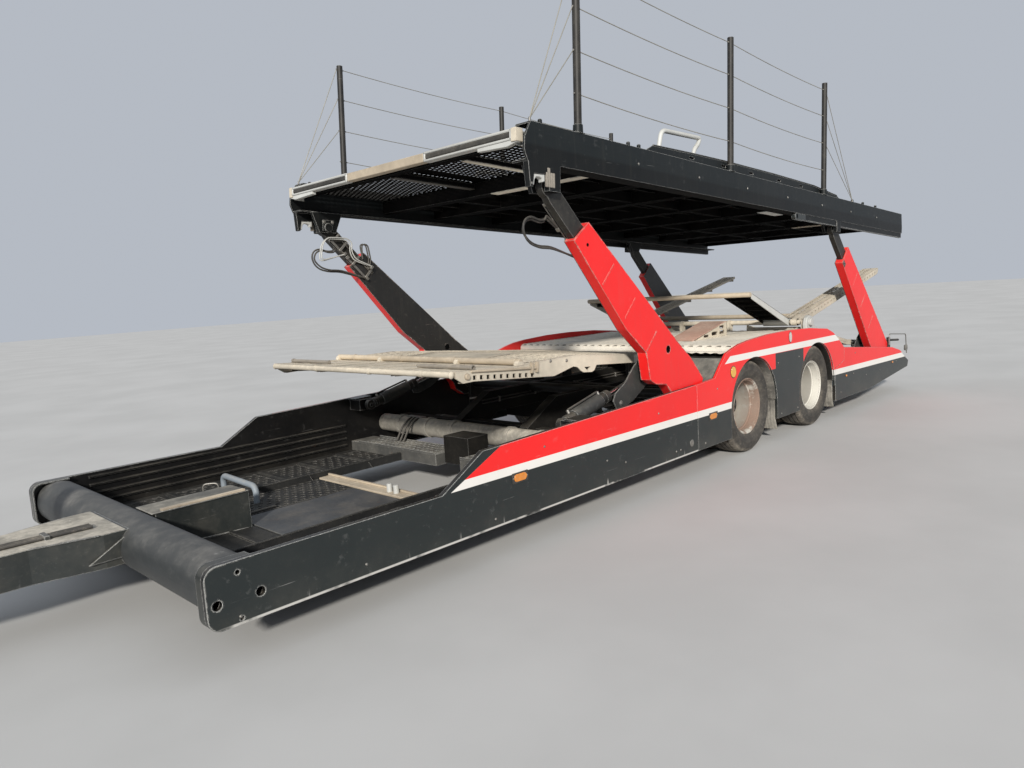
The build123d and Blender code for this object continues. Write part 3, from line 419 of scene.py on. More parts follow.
# near-black underside material with painted shade on faces that look down, standing in for the shade below the deck, in
# the bays and under the flaps
M["under"] = weathered("deck_underside_painted_shade", (0.0032, 0.0032, 0.0035), 0.75, dust_top=0.10, dust_all=0.008, wear=0.2, rust=0.04, bump=0.2, spec=0.06, shade=1.0)
M["dull"] = weathered("dull_casting", (0.27, 0.245, 0.21), 0.6, metal=0.1, dust=(0.5, 0.44, 0.35), dust_top=0.3, dust_all=0.12, wear=0.8,
                      wear_color=(0.08, 0.07, 0.06), rust=0.2, bump=0.3, vary=0.25)
# near-black sheets set behind holes and slots: painted shade for the hollows
M["painted_shade_void"] = weathered("painted_shade_opening", (0.003, 0.003, 0.003), 0.8, dust_top=0.0, dust_all=0.0, bump=0.05, spec=0.05)
M["light"] = weathered("light_steel", (0.55, 0.56, 0.54), 0.5, metal=0.1, dust_top=0.25, dust_all=0.08, wear=0.6, wear_color=(0.22, 0.21, 0.20), rust=0.08, bump=0.15)
M["blue_grey"] = weathered("blue_grey_tube", (0.20, 0.24, 0.28), 0.5, dust_top=0.3, dust_all=0.1, wear=0.7, bump=0.1)
M["lever"] = weathered("grey_lever", (0.024, 0.026, 0.026), 0.6, dust=(0.24, 0.23, 0.20), dust_top=0.35, dust_all=0.10, wear=0.8, bump=0.2, rust=0.06)
M["rubber"] = weathered("dusty_rubber", (0.018, 0.018, 0.018), 0.72, dust=(0.26, 0.24, 0.20), dust_top=0.35, dust_all=0.16, bump=0.3, vary=0.2)
M["tyre"] = weathered("tyre_rubber", (0.024, 0.023, 0.022), 0.78, dust=(0.25, 0.22, 0.18), dust_top=0.15, dust_all=0.24, bump=0.35, vary=0.25,
                      dust_fn=tyre_dust, scale=1.4)
M["rim"] = weathered("rim_cream", (0.66, 0.645, 0.58), 0.5, dust=(0.30, 0.26, 0.20), dust_top=0.1, dust_all=0.16, color_fn=rim_color, wear=0.6,
                     wear_color=(0.18, 0.10, 0.06), rust=0.06, rust_fn=rim_rust, bump=0.15, vary=0.10, scale=1.6)
M["flap"] = weathered("muddy_flap", (0.05, 0.048, 0.045), 0.85, dust=(0.33, 0.31, 0.27), dust_top=0.4, dust_all=0.75, dust_low=0.5,
                      low_from=0.12, low_to=0.45, bump=0.6, vary=0.2)
M["chrome"] = weathered("ram_rod", (0.55, 0.55, 0.55), 0.18, metal=1.0, dust_top=0.3, dust_all=0.05, bump=0.03, vary=0.05)
M["steel"] = weathered("worn_steel", (0.30, 0.29, 0.27), 0.42, metal=0.8, dust_top=0.3, dust_all=0.1, rust=0.12, bump=0.12)
M["rusty"] = weathered("rusty_steel", (0.10, 0.055, 0.035), 0.8, metal=0.1, dust_top=0.3, dust_all=0.12, rust=0.6, bump=0.3)
M["hose"] = weathered("hose_rubber", (0.022, 0.022, 0.023), 0.55, dust_top=0.3, dust_all=0.12, bump=0.12)
M["cable"] = weathered("steel_rope", (0.38, 0.36, 0.30), 0.5, metal=0.6, dust_top=0.2, dust_all=0.1, bump=0.2, scale=3)


def lens(name, color, rough=0.18):
    n = Net(name)
    fine = n.noise(90, 2, 0.5)
    prism = n.math("SINE", n.math("MULTIPLY", n.sep.outputs[0], 620.0))
    c = n.mix(n.ramp(prism, -0.6, 0.6), tuple(v * 0.55 for v in color), color)
    c = n.mix(n.times(n.ramp(fine, 0.45, 0.7), 0.25), c, (0.35, 0.30, 0.24))
    n.set(color=c, rough=rough, coat=0.6, coat_rough=0.06)
    n.bump(prism, 0.35, 0.002)
    return n.mat


M["amber"] = lens("amber_lens", (0.85, 0.28, 0.02))
M["yellow"] = lens("yellow_reflector", (0.95, 0.52, 0.06))
M["red_lens"] = lens("red_lens", (0.62, 0.02, 0.015))
M["clear_lens"] = lens("clear_lens", (0.74, 0.68, 0.64))
M["bezel"] = weathered("lamp_housing", (0.02, 0.02, 0.02), 0.4, dust_top=0.2, dust_all=0.08, bump=0.05)
M["plate"] = weathered("blank_plate", (0.62, 0.60, 0.50), 0.4, dust_top=0.2, dust_all=0.12, wear=0.3, bump=0.05)

# materials for the carried-over nodes
NODE_MATERIAL = {
    "side_beam_left": "beam", "side_beam_right": "beam", "fender_left": "fender", "fender_right": "fender",
    "rear_panel_left": "rear_panel", "rear_panel_right": "rear_panel", "front_cross_tube": "tube", "drawbar": "dark",
    "marker_lamps": "bezel", "towing_eye": "black", "centre_spine": "dark", "well_tracks": "bay", "well_floor": "bay",
    "well_crossbeam": "dusty_dark", "torsion_tube": "torsion", "frame_rails": "frame", "frame_crossmembers": "frame",
    "frame_outriggers": "frame", "bearing_plates": "black", "axle_front": "frame", "axle_rear": "frame", "suspension": "frame",
    "bogie_deck": "galv", "hinge_tube": "galv", "rear_tracks": "galv", "rear_bumper": "dark", "mudflaps": "flap",
    "jack_housing": "dark", "jack_leg": "galv_dark", "front_arms": "arm", "rear_arms": "arm", "front_slide_tubes": "black",
    "rear_slide_tubes": "black", "front_ram_barrels": "black", "front_ram_rods": "chrome", "rear_ram_barrels": "black",
    "rear_ram_rods": "chrome", "deck_beam_left": "deck_dark", "deck_beam_right": "deck_dark", "deck_cross_members": "under",
    "deck_runners": "under", "deck_plates": "under", "deck_front_lip": "light", "deck_boards": "deck_dark", "deck_posts": "black",
    "mid_platform": "galv", "platform_bars": "galv", "rear_bed": "galv", "wheel_flap": "galv",
}
for wheel in ("front_left", "front_right", "rear_left", "rear_right"):
    NODE_MATERIAL[wheel + "_tyres"] = "tyre"
    NODE_MATERIAL[wheel + "_rims"] = "rim"
for name, obj in nodes.items():
    obj.data.materials.clear()
    obj.data.materials.append(M[NODE_MATERIAL[name]])


# ------------------------------------------------------------- building pieces
def area(pts):
    return 0.5 * sum(a[0] * b[1] - b[0] * a[1] for a, b in zip(pts, pts[1:] + pts[:1]))


def inset(pts, d):
    """A counter-clockwise outline moved inwards by d, corner by corner."""
    out = []
    for i in range(len(pts)):
        a, b, c = Vector(pts[i - 1]), Vector(pts[i]), Vector(pts[(i + 1) % len(pts)])
        e, f = (b - a), (c - b)
        if e.length < 1e-9 or f.length < 1e-9:
            out.append(tuple(b))
            continue
        e.normalize()
        f.normalize()
        n1, n2 = Vector((-e.y, e.x)), Vector((-f.y, f.x))
        m = n1 + n2
        k = m.dot(n1)
        out.append(tuple(b + m * (d / k)) if k > 0.25 else tuple(b + n1 * d))
    return out


def ring(cx, cy, r, n=16, ry=None):
    return [(cx + r * math.cos(2 * math.pi * i / n), cy + (ry or r) * math.sin(2 * math.pi * i / n)) for i in range(n)]


def oblong(cx, cy, hx, hy, n=16):
    """A slot with round ends along the longer half size."""
    out = []
    r, flat = min(hx, hy), abs(hx - hy)
    for i in range(n):
        a = 2 * math.pi * (i + 0.5) / n
        x, y = r * math.cos(a), r * math.sin(a)
        if hx > hy:
            x += math.copysign(flat, x)
        else:
            y += math.copysign(flat, y)
        out.append((cx + x, cy + y))
    return out


def axes(origin, axis, up=Vector((0, 0, 1))):
    """Axes for a turned shape: axial distance, then two sides."""
    a = Vector(axis).normalized()
    s = up.cross(a)
    if s.length < 1e-4:
        s = Vector((1, 0, 0)).cross(a)
    s.normalize()
    t = a.cross(s)
    o = Vector(origin)
    return lambda d, x, y: o + a * d + s * x + t * y


def bent(points, radius, n=6):
    """A line with its corners rounded."""
    pts = [Vector(p) for p in points]
    out = [pts[0]]
    for a, b, c in zip(pts, pts[1:], pts[2:]):
        d = min(radius, (a - b).length * 0.49, (c - b).length * 0.49)
        p, q = b + (a - b).normalized() * d, b + (c - b).normalized() * d
        for i in range(n + 1):
            t = i / n
            out.append(p * (1 - t) ** 2 + b * 2 * t * (1 - t) + q * t ** 2)
    out.append(pts[-1])
    return out


class Shape:
    """Gathers closed solids for one piece and turns them into one object."""

    def __init__(self, name, body, slot, sharp=32):
        self.name, self.body, self.slot, self.sharp = name, body, slot, sharp
        self.verts, self.faces, self.of, self.keys, self.mat = [], [], [], [], 0

    def use(self, key):
        if key not in self.keys:
            self.keys.append(key)
        self.mat = self.keys.index(key)
        return self

    def add(self, verts, faces):
        v = [(p[0], p[1], p[2]) for p in verts]
        ox, oy, oz = v[0]
        vol = 0.0
        for f in faces:
            ax, ay, az = v[f[0]][0] - ox, v[f[0]][1] - oy, v[f[0]][2] - oz
            for i in range(1, len(f) - 1):
                b, c = v[f[i]], v[f[i + 1]]
                bx, by, bz = b[0] - ox, b[1] - oy, b[2] - oz
                cx, cy, cz = c[0] - ox, c[1] - oy, c[2] - oz
                vol += ax * (by * cz - bz * cy) + ay * (bz * cx - bx * cz) + az * (bx * cy - by * cx)
        n = len(self.verts)
        self.verts += v
        if vol < 0:
            self.faces += [[n + i for i in reversed(f)] for f in faces]
        else:
            self.faces += [[n + i for i in f] for f in faces]
        self.of += [self.mat] * len(faces)
        return self

    def prism(self, pts, w0, w1, to, b=0.0, holes=()):
        """An outline of corner points between two depths, with holes or with small bevels."""
        pts = [tuple(p) for p in pts]
        if area(pts) < 0:
            pts.reverse()
        n = len(pts)
        if holes:
            loops = [pts] + [list(h) if area(list(h)) > 0 else list(reversed(h)) for h in holes]
            flat = [p for loop in loops for p in loop]
            m = len(flat)
            tris = []
            for t in tessellate_polygon([[Vector((p[0], p[1], 0)) for p in loop] for loop in loops]):
                tri = [flat[i] for i in t]
                tris.append(list(t) if area(tri) > 0 else list(reversed(t)))
            verts = [to(p[0], p[1], w0) for p in flat] + [to(p[0], p[1], w1) for p in flat]
            faces = [list(reversed(t)) for t in tris] + [[i + m for i in t] for t in tris]
            at = 0
            for k, loop in enumerate(loops):
                c = len(loop)
                for i in range(c):
                    a, e = at + i, at + (i + 1) % c
                    q = [a, e, e + m, a + m]
                    faces.append(q if k == 0 else list(reversed(q)))
                at += c
            return self.add(verts, faces)
        if b > 0 and w1 - w0 > 2.2 * b:
            small = inset(pts, b)
            rings = [(small, w0), (pts, w0 + b), (pts, w1 - b), (small, w1)]
        else:
            rings = [(pts, w0), (pts, w1)]
        verts = [to(p[0], p[1], w) for loop, w in rings for p in loop]
        faces = [list(reversed(range(n))), [(len(rings) - 1) * n + i for i in range(n)]]
        for k in range(len(rings) - 1):
            for i in range(n):
                j = (i + 1) % n
                faces.append([k * n + i, k * n + j, (k + 1) * n + j, (k + 1) * n + i])
        return self.add(verts, faces)

    def box(self, u0, u1, v0, v1, w0, w1, to, b=0.002):
        u0, u1, v0, v1, w0, w1 = min(u0, u1), max(u0, u1), min(v0, v1), max(v0, v1), min(w0, w1), max(w0, w1)
        b = min(b, (u1 - u0) * 0.3, (v1 - v0) * 0.3, (w1 - w0) * 0.3)
        if b <= 0:
            pts = [(u0, v0), (u1, v0), (u1, v1), (u0, v1)]
        else:
            pts = [(u0 + b, v0), (u1 - b, v0), (u1, v0 + b), (u1, v1 - b), (u1 - b, v1), (u0 + b, v1), (u0, v1 - b), (u0, v0 + b)]
        return self.prism(pts, w0, w1, to, b)

    def tube(self, path, r, seg=12, caps=True):
        path = [Vector(p) for p in path]
        radii = list(r) if isinstance(r, (list, tuple)) else [r] * len(path)
        t0 = (path[1] - path[0]).normalized()
        n = Vector((0, 0, 1)).cross(t0)
        if n.length < 0.05:
            n = Vector((1, 0, 0)).cross(t0)
        n.normalize()
        verts, faces = [], []
        for i, p in enumerate(path):
            if i == 0:
                t = t0
            elif i == len(path) - 1:
                t = (path[i] - path[i - 1]).normalized()
            else:
                t = ((path[i] - path[i - 1]).normalized() + (path[i + 1] - path[i]).normalized()).normalized()
            n = (n - t * n.dot(t)).normalized()
            m = t.cross(n)
            for k in range(seg):
                a = 2 * math.pi * k / seg
                verts.append(p + (n * math.cos(a) + m * math.sin(a)) * radii[i])
        for i in range(len(path) - 1):
            for k in range(seg):
                l = (k + 1) % seg
                faces.append([i * seg + k, i * seg + l, (i + 1) * seg + l, (i + 1) * seg + k])
        if caps:
            faces.append(list(reversed(range(seg))))
            faces.append([(len(path) - 1) * seg + k for k in range(seg)])
        return self.add(verts, faces)

    def lathe(self, profile, to, seg=32, closed=True):
        """profile is (axial, radius); to(axial, x, y). closed: the profile is a loop; otherwise its ends lie on the axis."""
        verts, faces, rows = [], [], []
        for a, r in profile:
            if r < 1e-7:
                rows.append([len(verts)])
                verts.append(to(a, 0.0, 0.0))
            else:
                rows.append(list(range(len(verts), len(verts) + seg)))
                verts += [to(a, r * math.cos(2 * math.pi * k / seg), r * math.sin(2 * math.pi * k / seg)) for k in range(seg)]
        pairs = list(zip(rows, rows[1:])) + ([(rows[-1], rows[0])] if closed else [])
        for p, q in pairs:
            for k in range(seg):
                l = (k + 1) % seg
                if len(p) == 1 and len(q) == 1:
                    continue
                if len(p) == 1:
                    faces.append([p[0], q[k], q[l]])
                elif len(q) == 1:
                    faces.append([p[k], q[0], p[l]])
                else:
                    faces.append([p[k], q[k], q[l], p[l]])
        return self.add(verts, faces)

    def perforated(self, to, u0, u1, v0, v1, nu, nv, hu, hv, w0, w1, k=2, stagger=False, skip=None, power=2.6):
        """A sheet between w0 and w1 with one rounded hole in each cell; hu and hv are the hole's half sizes."""
        du, dv = (u1 - u0) / nu, (v1 - v0) / nv
        verts, faces = [], []

        def plain(a0, a1, b0, b1):
            n = len(verts)
            for w in (w0, w1):
                verts.extend(to(*p, w) for p in ((a0, b0), (a1, b0), (a1, b1), (a0, b1)))
            faces.append([n, n + 3, n + 2, n + 1])
            faces.append([n + 4, n + 5, n + 6, n + 7])

        for j in range(nv):
            b0, b1 = v0 + j * dv, v0 + (j + 1) * dv
            shift = stagger and j % 2
            cells = nu - 1 if shift else nu
            start = u0 + du / 2 if shift else u0
            if shift:
                plain(u0, start, b0, b1)
                plain(u1 - du / 2, u1, b0, b1)
            for i in range(cells):
                a0, a1 = start + i * du, start + (i + 1) * du
                if skip and skip((a0 + a1) / 2, (b0 + b1) / 2):
                    plain(a0, a1, b0, b1)
                    continue
                cu, cv = (a0 + a1) / 2, (b0 + b1) / 2
                edge = ([(a0 + (a1 - a0) * t / k, b0) for t in range(k)] + [(a1, b0 + (b1 - b0) * t / k) for t in range(k)]
                        + [(a1 - (a1 - a0) * t / k, b1) for t in range(k)] + [(a0, b1 - (b1 - b0) * t / k) for t in range(k)])
                hole = []
                for x, y in edge:
                    a = math.atan2((y - cv) / dv, (x - cu) / du)
                    c, s = math.cos(a), math.sin(a)
                    g = (abs(c) ** power + abs(s) ** power) ** (-1.0 / power)
                    hole.append((cu + hu * c * g, cv + hv * s * g))
                n, m = len(verts), len(edge)
                for w in (w0, w1):
                    verts.extend(to(*p, w) for p in edge)
                    verts.extend(to(*p, w) for p in hole)
                for q in range(m):
                    l = (q + 1) % m
                    faces.append([n + l, n + q, n + m + q, n + m + l])
                    faces.append([n + 2 * m + q, n + 2 * m + l, n + 3 * m + l, n + 3 * m + q])
                    faces.append([n + m + l, n + m + q, n + 3 * m + q, n + 3 * m + l])
        # rim of the sheet
        for c in range(4):
            if c % 2:
                line = [(u0 if c == 3 else u1, v0 + dv * j) for j in range(nv + 1)]
            else:
                line = [(u0 + du * i, v0 if c == 0 else v1) for i in range(nu + 1)]
            if c >= 2:
                line.reverse()
            n = len(verts)
            for p in line:
                verts.append(to(*p, w0))
                verts.append(to(*p, w1))
            for i in range(len(line) - 1):
                faces.append([n + 2 * i, n + 2 * i + 2, n + 2 * i + 3, n + 2 * i + 1])
        return self.add(verts, faces)

    def waves(self, to, u0, u1, v0, v1, nu, nv, w0, height):
        """A closed slab with a flat underside at w0 and its top at height(u, v)."""
        verts, faces = [], []
        for i in range(nu + 1):
            for j in range(nv + 1):
                u, v = u0 + (u1 - u0) * i / nu, v0 + (v1 - v0) * j / nv
                verts.append(to(u, v, height(u, v)))
        m = len(verts)
        for i in range(nu + 1):
            for j in range(nv + 1):
                u, v = u0 + (u1 - u0) * i / nu, v0 + (v1 - v0) * j / nv
                verts.append(to(u, v, w0))
        g = lambda i, j: i * (nv + 1) + j
        for i in range(nu):
            for j in range(nv):
                faces.append([g(i, j), g(i + 1, j), g(i + 1, j + 1), g(i, j + 1)])
        for i in range(nu):
            for j in range(nv):
                faces.append([m + g(i, j), m + g(i, j + 1), m + g(i + 1, j + 1), m + g(i + 1, j)])
        for i in range(nu):
            faces.append([g(i, 0), m + g(i, 0), m + g(i + 1, 0), g(i + 1, 0)])
            faces.append([g(i + 1, nv), m + g(i + 1, nv), m + g(i, nv), g(i, nv)])
        for j in range(nv):
            faces.append([g(0, j + 1), m + g(0, j + 1), m + g(0, j), g(0, j)])
            faces.append([g(nu, j), m + g(nu, j), m + g(nu, j + 1), g(nu, j + 1)])
        return self.add(verts, faces)

    def bolt(self, at, axis, r=0.010, h=0.007, washer=True):
        """A hexagon head on a washer, seated a little into its face."""
        to = axes(at, axis)
        if washer:
            self.lathe([(-0.001, 0.0), (-0.001, r * 1.45), (0.0015, r * 1.45), (0.002, 0.0)], to, 14, closed=False)
        turn = rnd.random()
        hexa = [(r * math.cos(math.pi * (i / 3.0 + turn)), r * math.sin(math.pi * (i / 3.0 + turn))) for i in range(6)]
        return self.prism(hexa, 0.0, h + 0.002, lambda u, v, w: to(w, u, v), b=r * 0.12)

    def weld(self, a, b, r=0.004):
        """A bead of weld along a straight seam."""
        a, b = Vector(a), Vector(b)
        n = max(4, int((b - a).length / 0.012))
        path = [a.lerp(b, i / n) for i in range(n + 1)]
        return self.tube(path, [r * (1.0 + 0.18 * (i % 2)) for i in range(n + 1)], 6)

    def done(self, *replaced):
        mesh = bpy.data.meshes.new(self.name)
        mesh.from_pydata(self.verts, [], self.faces)
        for key in self.keys:
            mesh.materials.append(M[key])
        mesh.polygons.foreach_set("material_index", self.of)
        mesh.polygons.foreach_set("use_smooth", [True] * len(self.faces))
        mesh.set_sharp_from_angle(angle=math.radians(self.sharp))
        mesh.update()
        obj = bpy.data.objects.new(self.name, mesh)
        bpy.context.scene.collection.objects.link(obj)
        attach(obj, self.body)
        if replaced:
            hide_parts(*replaced)
        return obj


HANDS = ((1, "left"), (-1, "right"))

# --------------------------------------------------------------------- wheels
TREAD = [(-0.0985, 0.3790), (-0.0680, 0.3865), (-0.0665, 0.3740), (-0.0580, 0.3740), (-0.0565, 0.3872), (-0.0255, 0.3880),
         (-0.0240, 0.3745), (-0.0160, 0.3745), (-0.0145, 0.3880)]
SIDEWALL = [(-0.0890, 0.2245), (-0.0925, 0.2330), (-0.0970, 0.2430), (-0.1000, 0.2480), (-0.1040, 0.2500), (-0.1090, 0.2640), (-0.1110, 0.2655),
            (-0.1125, 0.2700), (-0.1175, 0.2870), (-0.1205, 0.3020), (-0.1218, 0.3035), (-0.1216, 0.3065), (-0.1203, 0.3080),
            (-0.1200, 0.3250), (-0.1180, 0.3400), (-0.1182, 0.3425), (-0.1150, 0.3480), (-0.1085, 0.3640), (-0.1035, 0.3740)]
HALF = SIDEWALL + TREAD
TYRE_LINE = HALF + [(-a, r) for a, r in reversed(HALF)]
BLOCKS = 46
PHASES = [(0.0, 0), (0.80, 0), (0.83, 1), (0.97, 1)]


def wheel(tag, cx, hand):
    body = tag + "_wheel"

    def hub(a, x, y):
        return P(cx + x, hand * (0.975 + a), 0.388 + y)

    tyres = Shape(tag + "_tyre_pair", body, "tyre", sharp=40).use("tyre")
    for middle in (0.1375, -0.1375):
        angles = [(2 * math.pi * (b + p) / BLOCKS, notch) for b in range(BLOCKS) for p, notch in PHASES]
        verts, faces = [], []
        m = len(TYRE_LINE)
        for th, notch in angles:
            for a, r in TYRE_LINE:
                out = abs(a)
                if notch and r > 0.362 and out > 0.066:
                    r -= 0.009 if out > 0.09 else 0.006
                elif notch and r > 0.384 and 0.02 < out < 0.06:
                    r -= 0.0025
                verts.append(hub(middle + a, r * math.cos(th), r * math.sin(th)))
        k = len(angles)
        for i in range(k):
            j = (i + 1) % k
            for q in range(m):
                w = (q + 1) % m
                faces.append([i * m + q, j * m + q, j * m + w, i * m + w])
        tyres.add(verts, faces)
    tyres.done(tag + "_tyres")

    rims = Shape(tag + "_rim_pair", body, "rim_paint", sharp=28).use("rim")
    barrel = [(0.2300, 0.2360), (0.2335, 0.2350), (0.2350, 0.2320), (0.2345, 0.2285), (0.2300, 0.2262), (0.2245, 0.2235), (0.2215, 0.2165), (0.2150, 0.2140),
              (0.1750, 0.2118), (0.1640, 0.2080), (0.1560, 0.1990), (0.1480, 0.1968), (0.0640, 0.1955), (0.0300, 0.1965), (0.0130, 0.2010),
              (0.0040, 0.2050), (0.0040, 0.2110), (0.0420, 0.2120), (0.0430, 0.2320), (0.0465, 0.2320), (0.0480, 0.2222), (0.2210, 0.2222), (0.2285, 0.2300)]
    for s in (1, -1):
        rims.lathe([(s * a, r) for a, r in barrel], hub, 96)
        # disc: outer band, a ring with hand holes, inner dish
        rims.lathe([(s * a, r) for a, r in [(0.006, 0.2045), (0.016, 0.2000), (0.026, 0.1930), (0.0315, 0.1860), (0.0325, 0.1810), (0.0225, 0.1800),
                                            (0.0210, 0.1850), (0.0150, 0.1920), (0.0060, 0.1975)]], hub, 80)
        dish = lambda r: 0.0265 - 0.0085 * ((0.1815 - r) / 0.043) ** 1.4 if r < 0.1815 else 0.0265

        def polar(u, v, w, s=s):
            return hub(s * (dish(v) + w), v * math.cos(u), v * math.sin(u))

        rims.perforated(polar, 0.0, 2 * math.pi, 0.1385, 0.1815, 10, 1, 0.118, 0.0155, -0.005, 0.005, k=6, power=2.2)
        rims.lathe([(s * a, r) for a, r in [(0.0235, 0.1400), (0.0170, 0.1320), (0.0120, 0.1270), (0.0110, 0.0870), (0.0010, 0.0870), (0.0010, 0.1290),
                                            (0.0080, 0.1350), (0.0130, 0.1395)]], hub, 64)
    rims.use("rusty")
    for i in range(10):
        a = 2 * math.pi * (i + 0.5) / 10
        at = hub(0.011, 0.1075 * math.cos(a), 0.1075 * math.sin(a))
        rims.bolt(at, (0, hand, 0), 0.0160, 0.020)
        rims.lathe([(0.018, 0.0), (0.018, 0.0095), (0.034, 0.0095), (0.036, 0.0075), (0.036, 0.0)], axes(at, (0, hand, 0)), 12, closed=False)
    rims.use("frame")
    rims.lathe([(0.005, 0.0), (0.005, 0.0880), (0.034, 0.0880), (0.040, 0.0850), (0.076, 0.0800), (0.084, 0.0760), (0.097, 0.0740), (0.100, 0.0700),
                (0.100, 0.0520), (0.0965, 0.0500), (0.0965, 0.0)], hub, 48, closed=False)
    for i in range(8):
        a = 2 * math.pi * i / 8
        rims.bolt(hub(0.0972, 0.0625 * math.cos(a), 0.0625 * math.sin(a)), (0, hand, 0), 0.0058, 0.003)
    # brake drum behind the disc
    rims.use("rusty")
    rims.lathe([(-0.012, 0.046), (-0.012, 0.120), (-0.030, 0.150), (-0.046, 0.1740), (-0.052, 0.1800), (-0.085, 0.1810), (-0.088, 0.1850), (-0.098, 0.1850),
                (-0.101, 0.1810), (-0.232, 0.1810), (-0.238, 0.1860), (-0.250, 0.1860), (-0.250, 0.1620), (-0.060, 0.1620), (-0.040, 0.060), (-0.040, 0.046)], hub, 56)
    # valve
    rims.use("steel")
    rims.tube(bent([hub(0.024, 0.1885, 0.0), hub(0.050, 0.184, 0.0), hub(0.088, 0.186, 0.0)], 0.02), [0.0042] * 9, 8)
    rims.done(tag + "_rims")


for tag, cx, hand in (("front_left", 0.0, 1), ("front_right", 0.0, -1), ("rear_left", -1.310, 1), ("rear_right", -1.310, -1)):
    wheel(tag, cx, hand)

# ---------------------------------------------------------- flaps by the wheels
spray = Shape("spray_flaps", "chassis", "rubber", sharp=60).use("flap")
for cx in (-0.030, -1.318):
    for hand, _ in HANDS:
        def skin(u, v, w, cx=cx, hand=hand):
            # u across, v from the top 0 to the bottom 1
            z = 0.388 - 0.283 * v
            x = cx - 0.430 - 0.012 * v - 0.048 * max(0.0, v - 0.62) ** 1.5 * 3.0
            x += 0.004 * math.sin(31 * u + 5 * v) * v + 0.006 * math.sin(11 * u + 3.0) * v * v
            x += 0.0025 * (1 if int(u / 0.0137) % 2 else 0) * (1.0 - 0.3 * v)
            return P(x - w, hand * (0.690 + u), z)

        spray.waves(skin, 0.0, 0.548, 0.0, 1.0, 80, 14, -0.004, lambda u, v: 0.004)
        # holder strip
        spray.box(0.690, 1.238, 0.372, 0.400, cx - 0.4265, cx - 0.4215, lambda u, v, w, hand=hand: P(w, hand * u, v), 0.001)
spray.use("steel")
for cx in (-0.030, -1.318):
    for hand, _ in HANDS:
        for y in (0.74, 0.90, 1.06, 1.20):
            spray.bolt(P(cx - 0.438, hand * y, 0.374), (-1, 0, 0), 0.006, 0.004)
spray.done("mudflaps")

# ----------------------------------------------------- details of the side panels
for hand, tag in HANDS:
    trim = Shape("side_fittings_" + tag, "chassis", "light_steel")
    out = lambda u, v, w, hand=hand: P(u, hand * w, v)
    trim.use("steel")
    # round lock and screws in the panel
    trim.lathe([(-0.003, 0.0), (-0.003, 0.026), (0.0015, 0.026), (0.003, 0.022), (0.003, 0.011), (0.001, 0.010), (0.001, 0.0)],
               axes(out(0.993, 0.268, 1.268), (0, hand, 0)), 28, closed=False)
    for x, z in ((1.21, 0.247), (1.15, 0.248), (1.83, 0.300), (2.03, 0.352), (1.42, 0.560), (2.62, 0.560), (3.9, 0.250), (3.05, 0.240), (4.52, 0.225)):
        trim.bolt(out(x, z, 1.268), (0, hand, 0), 0.005, 0.0025)
    for x, z in ((-2.25, 0.39), (-2.62, 0.33), (-3.05, 0.33), (-1.90, 0.24), (-3.6, 0.37), (-2.3, 0.60)):
        trim.bolt(out(x, z, 1.268), (0, hand, 0), 0.005, 0.0025)
    for x, z in ((-0.47, 0.70), (-0.90, 0.71), (-0.52, 0.245), (-0.86, 0.245), (0.80, 0.23), (0.60, 0.62)):
        trim.bolt(out(x, z, 1.270), (0, hand, 0), 0.005, 0.0025)
    # lamps on their housings
    for x, z, hl, hh, face, key in ((2.840, 0.429, 0.064, 0.030, 1.268, "amber"), (0.674, 0.419, 0.064, 0.030, 1.270, "amber"),
                                    (-2.045, 0.391, 0.022, 0.014, 1.268, "amber"), (-3.467, 0.370, 0.022, 0.014, 1.268, "amber")):
        trim.use("bezel")
        trim.box(x - hl, x + hl, z - hh, z + hh, face - 0.002, face + 0.003, out, 0.001)
        trim.use(key)
        trim.prism(oblong(x, z, hl * 0.80, hh * 0.72, 20), face + 0.001, 1.275, out, b=0.0015)
        if hl > 0.03:
            trim.use("steel")
            for s in (-1, 1):
                trim.bolt(out(x + s * hl * 0.90, z, face + 0.002), (0, hand, 0), 0.0035, 0.001)
    for x, z, rx, ry, key in ((0.340, 0.719, 0.046, 0.050, "yellow"), (-0.724, 0.903, 0.030, 0.050, "clear_lens")):
        trim.use("bezel")
        trim.prism(ring(x, z, rx, 28, ry), 1.268, 1.2725, out, b=0.001)
        trim.use(key)
        trim.prism(ring(x, z, rx * 0.88, 28, ry * 0.88), 1.270, 1.275, out, b=0.0018)
    # turned-in flange round the front end of the panel
    trim.use("dark")
    bend = lambda r: ([(4.597 + r * math.sin(math.pi * k / 16), 0.404 + r * math.cos(math.pi * k / 16)) for k in range(9)]
                      + [(4.597 + r * math.cos(math.pi * k / 16), 0.248 - r * math.sin(math.pi * k / 16)) for k in range(9)])
    outer, inner = bend(0.0575), bend(0.0495)
    trim.prism([(4.44, 0.4610)] + outer + [(4.44, 0.1910), (4.44, 0.1990)] + inner[::-1] + [(4.44, 0.4530)], 1.186, 1.2675, out)
    trim.done("marker_lamps") if tag == "left" else trim.done()

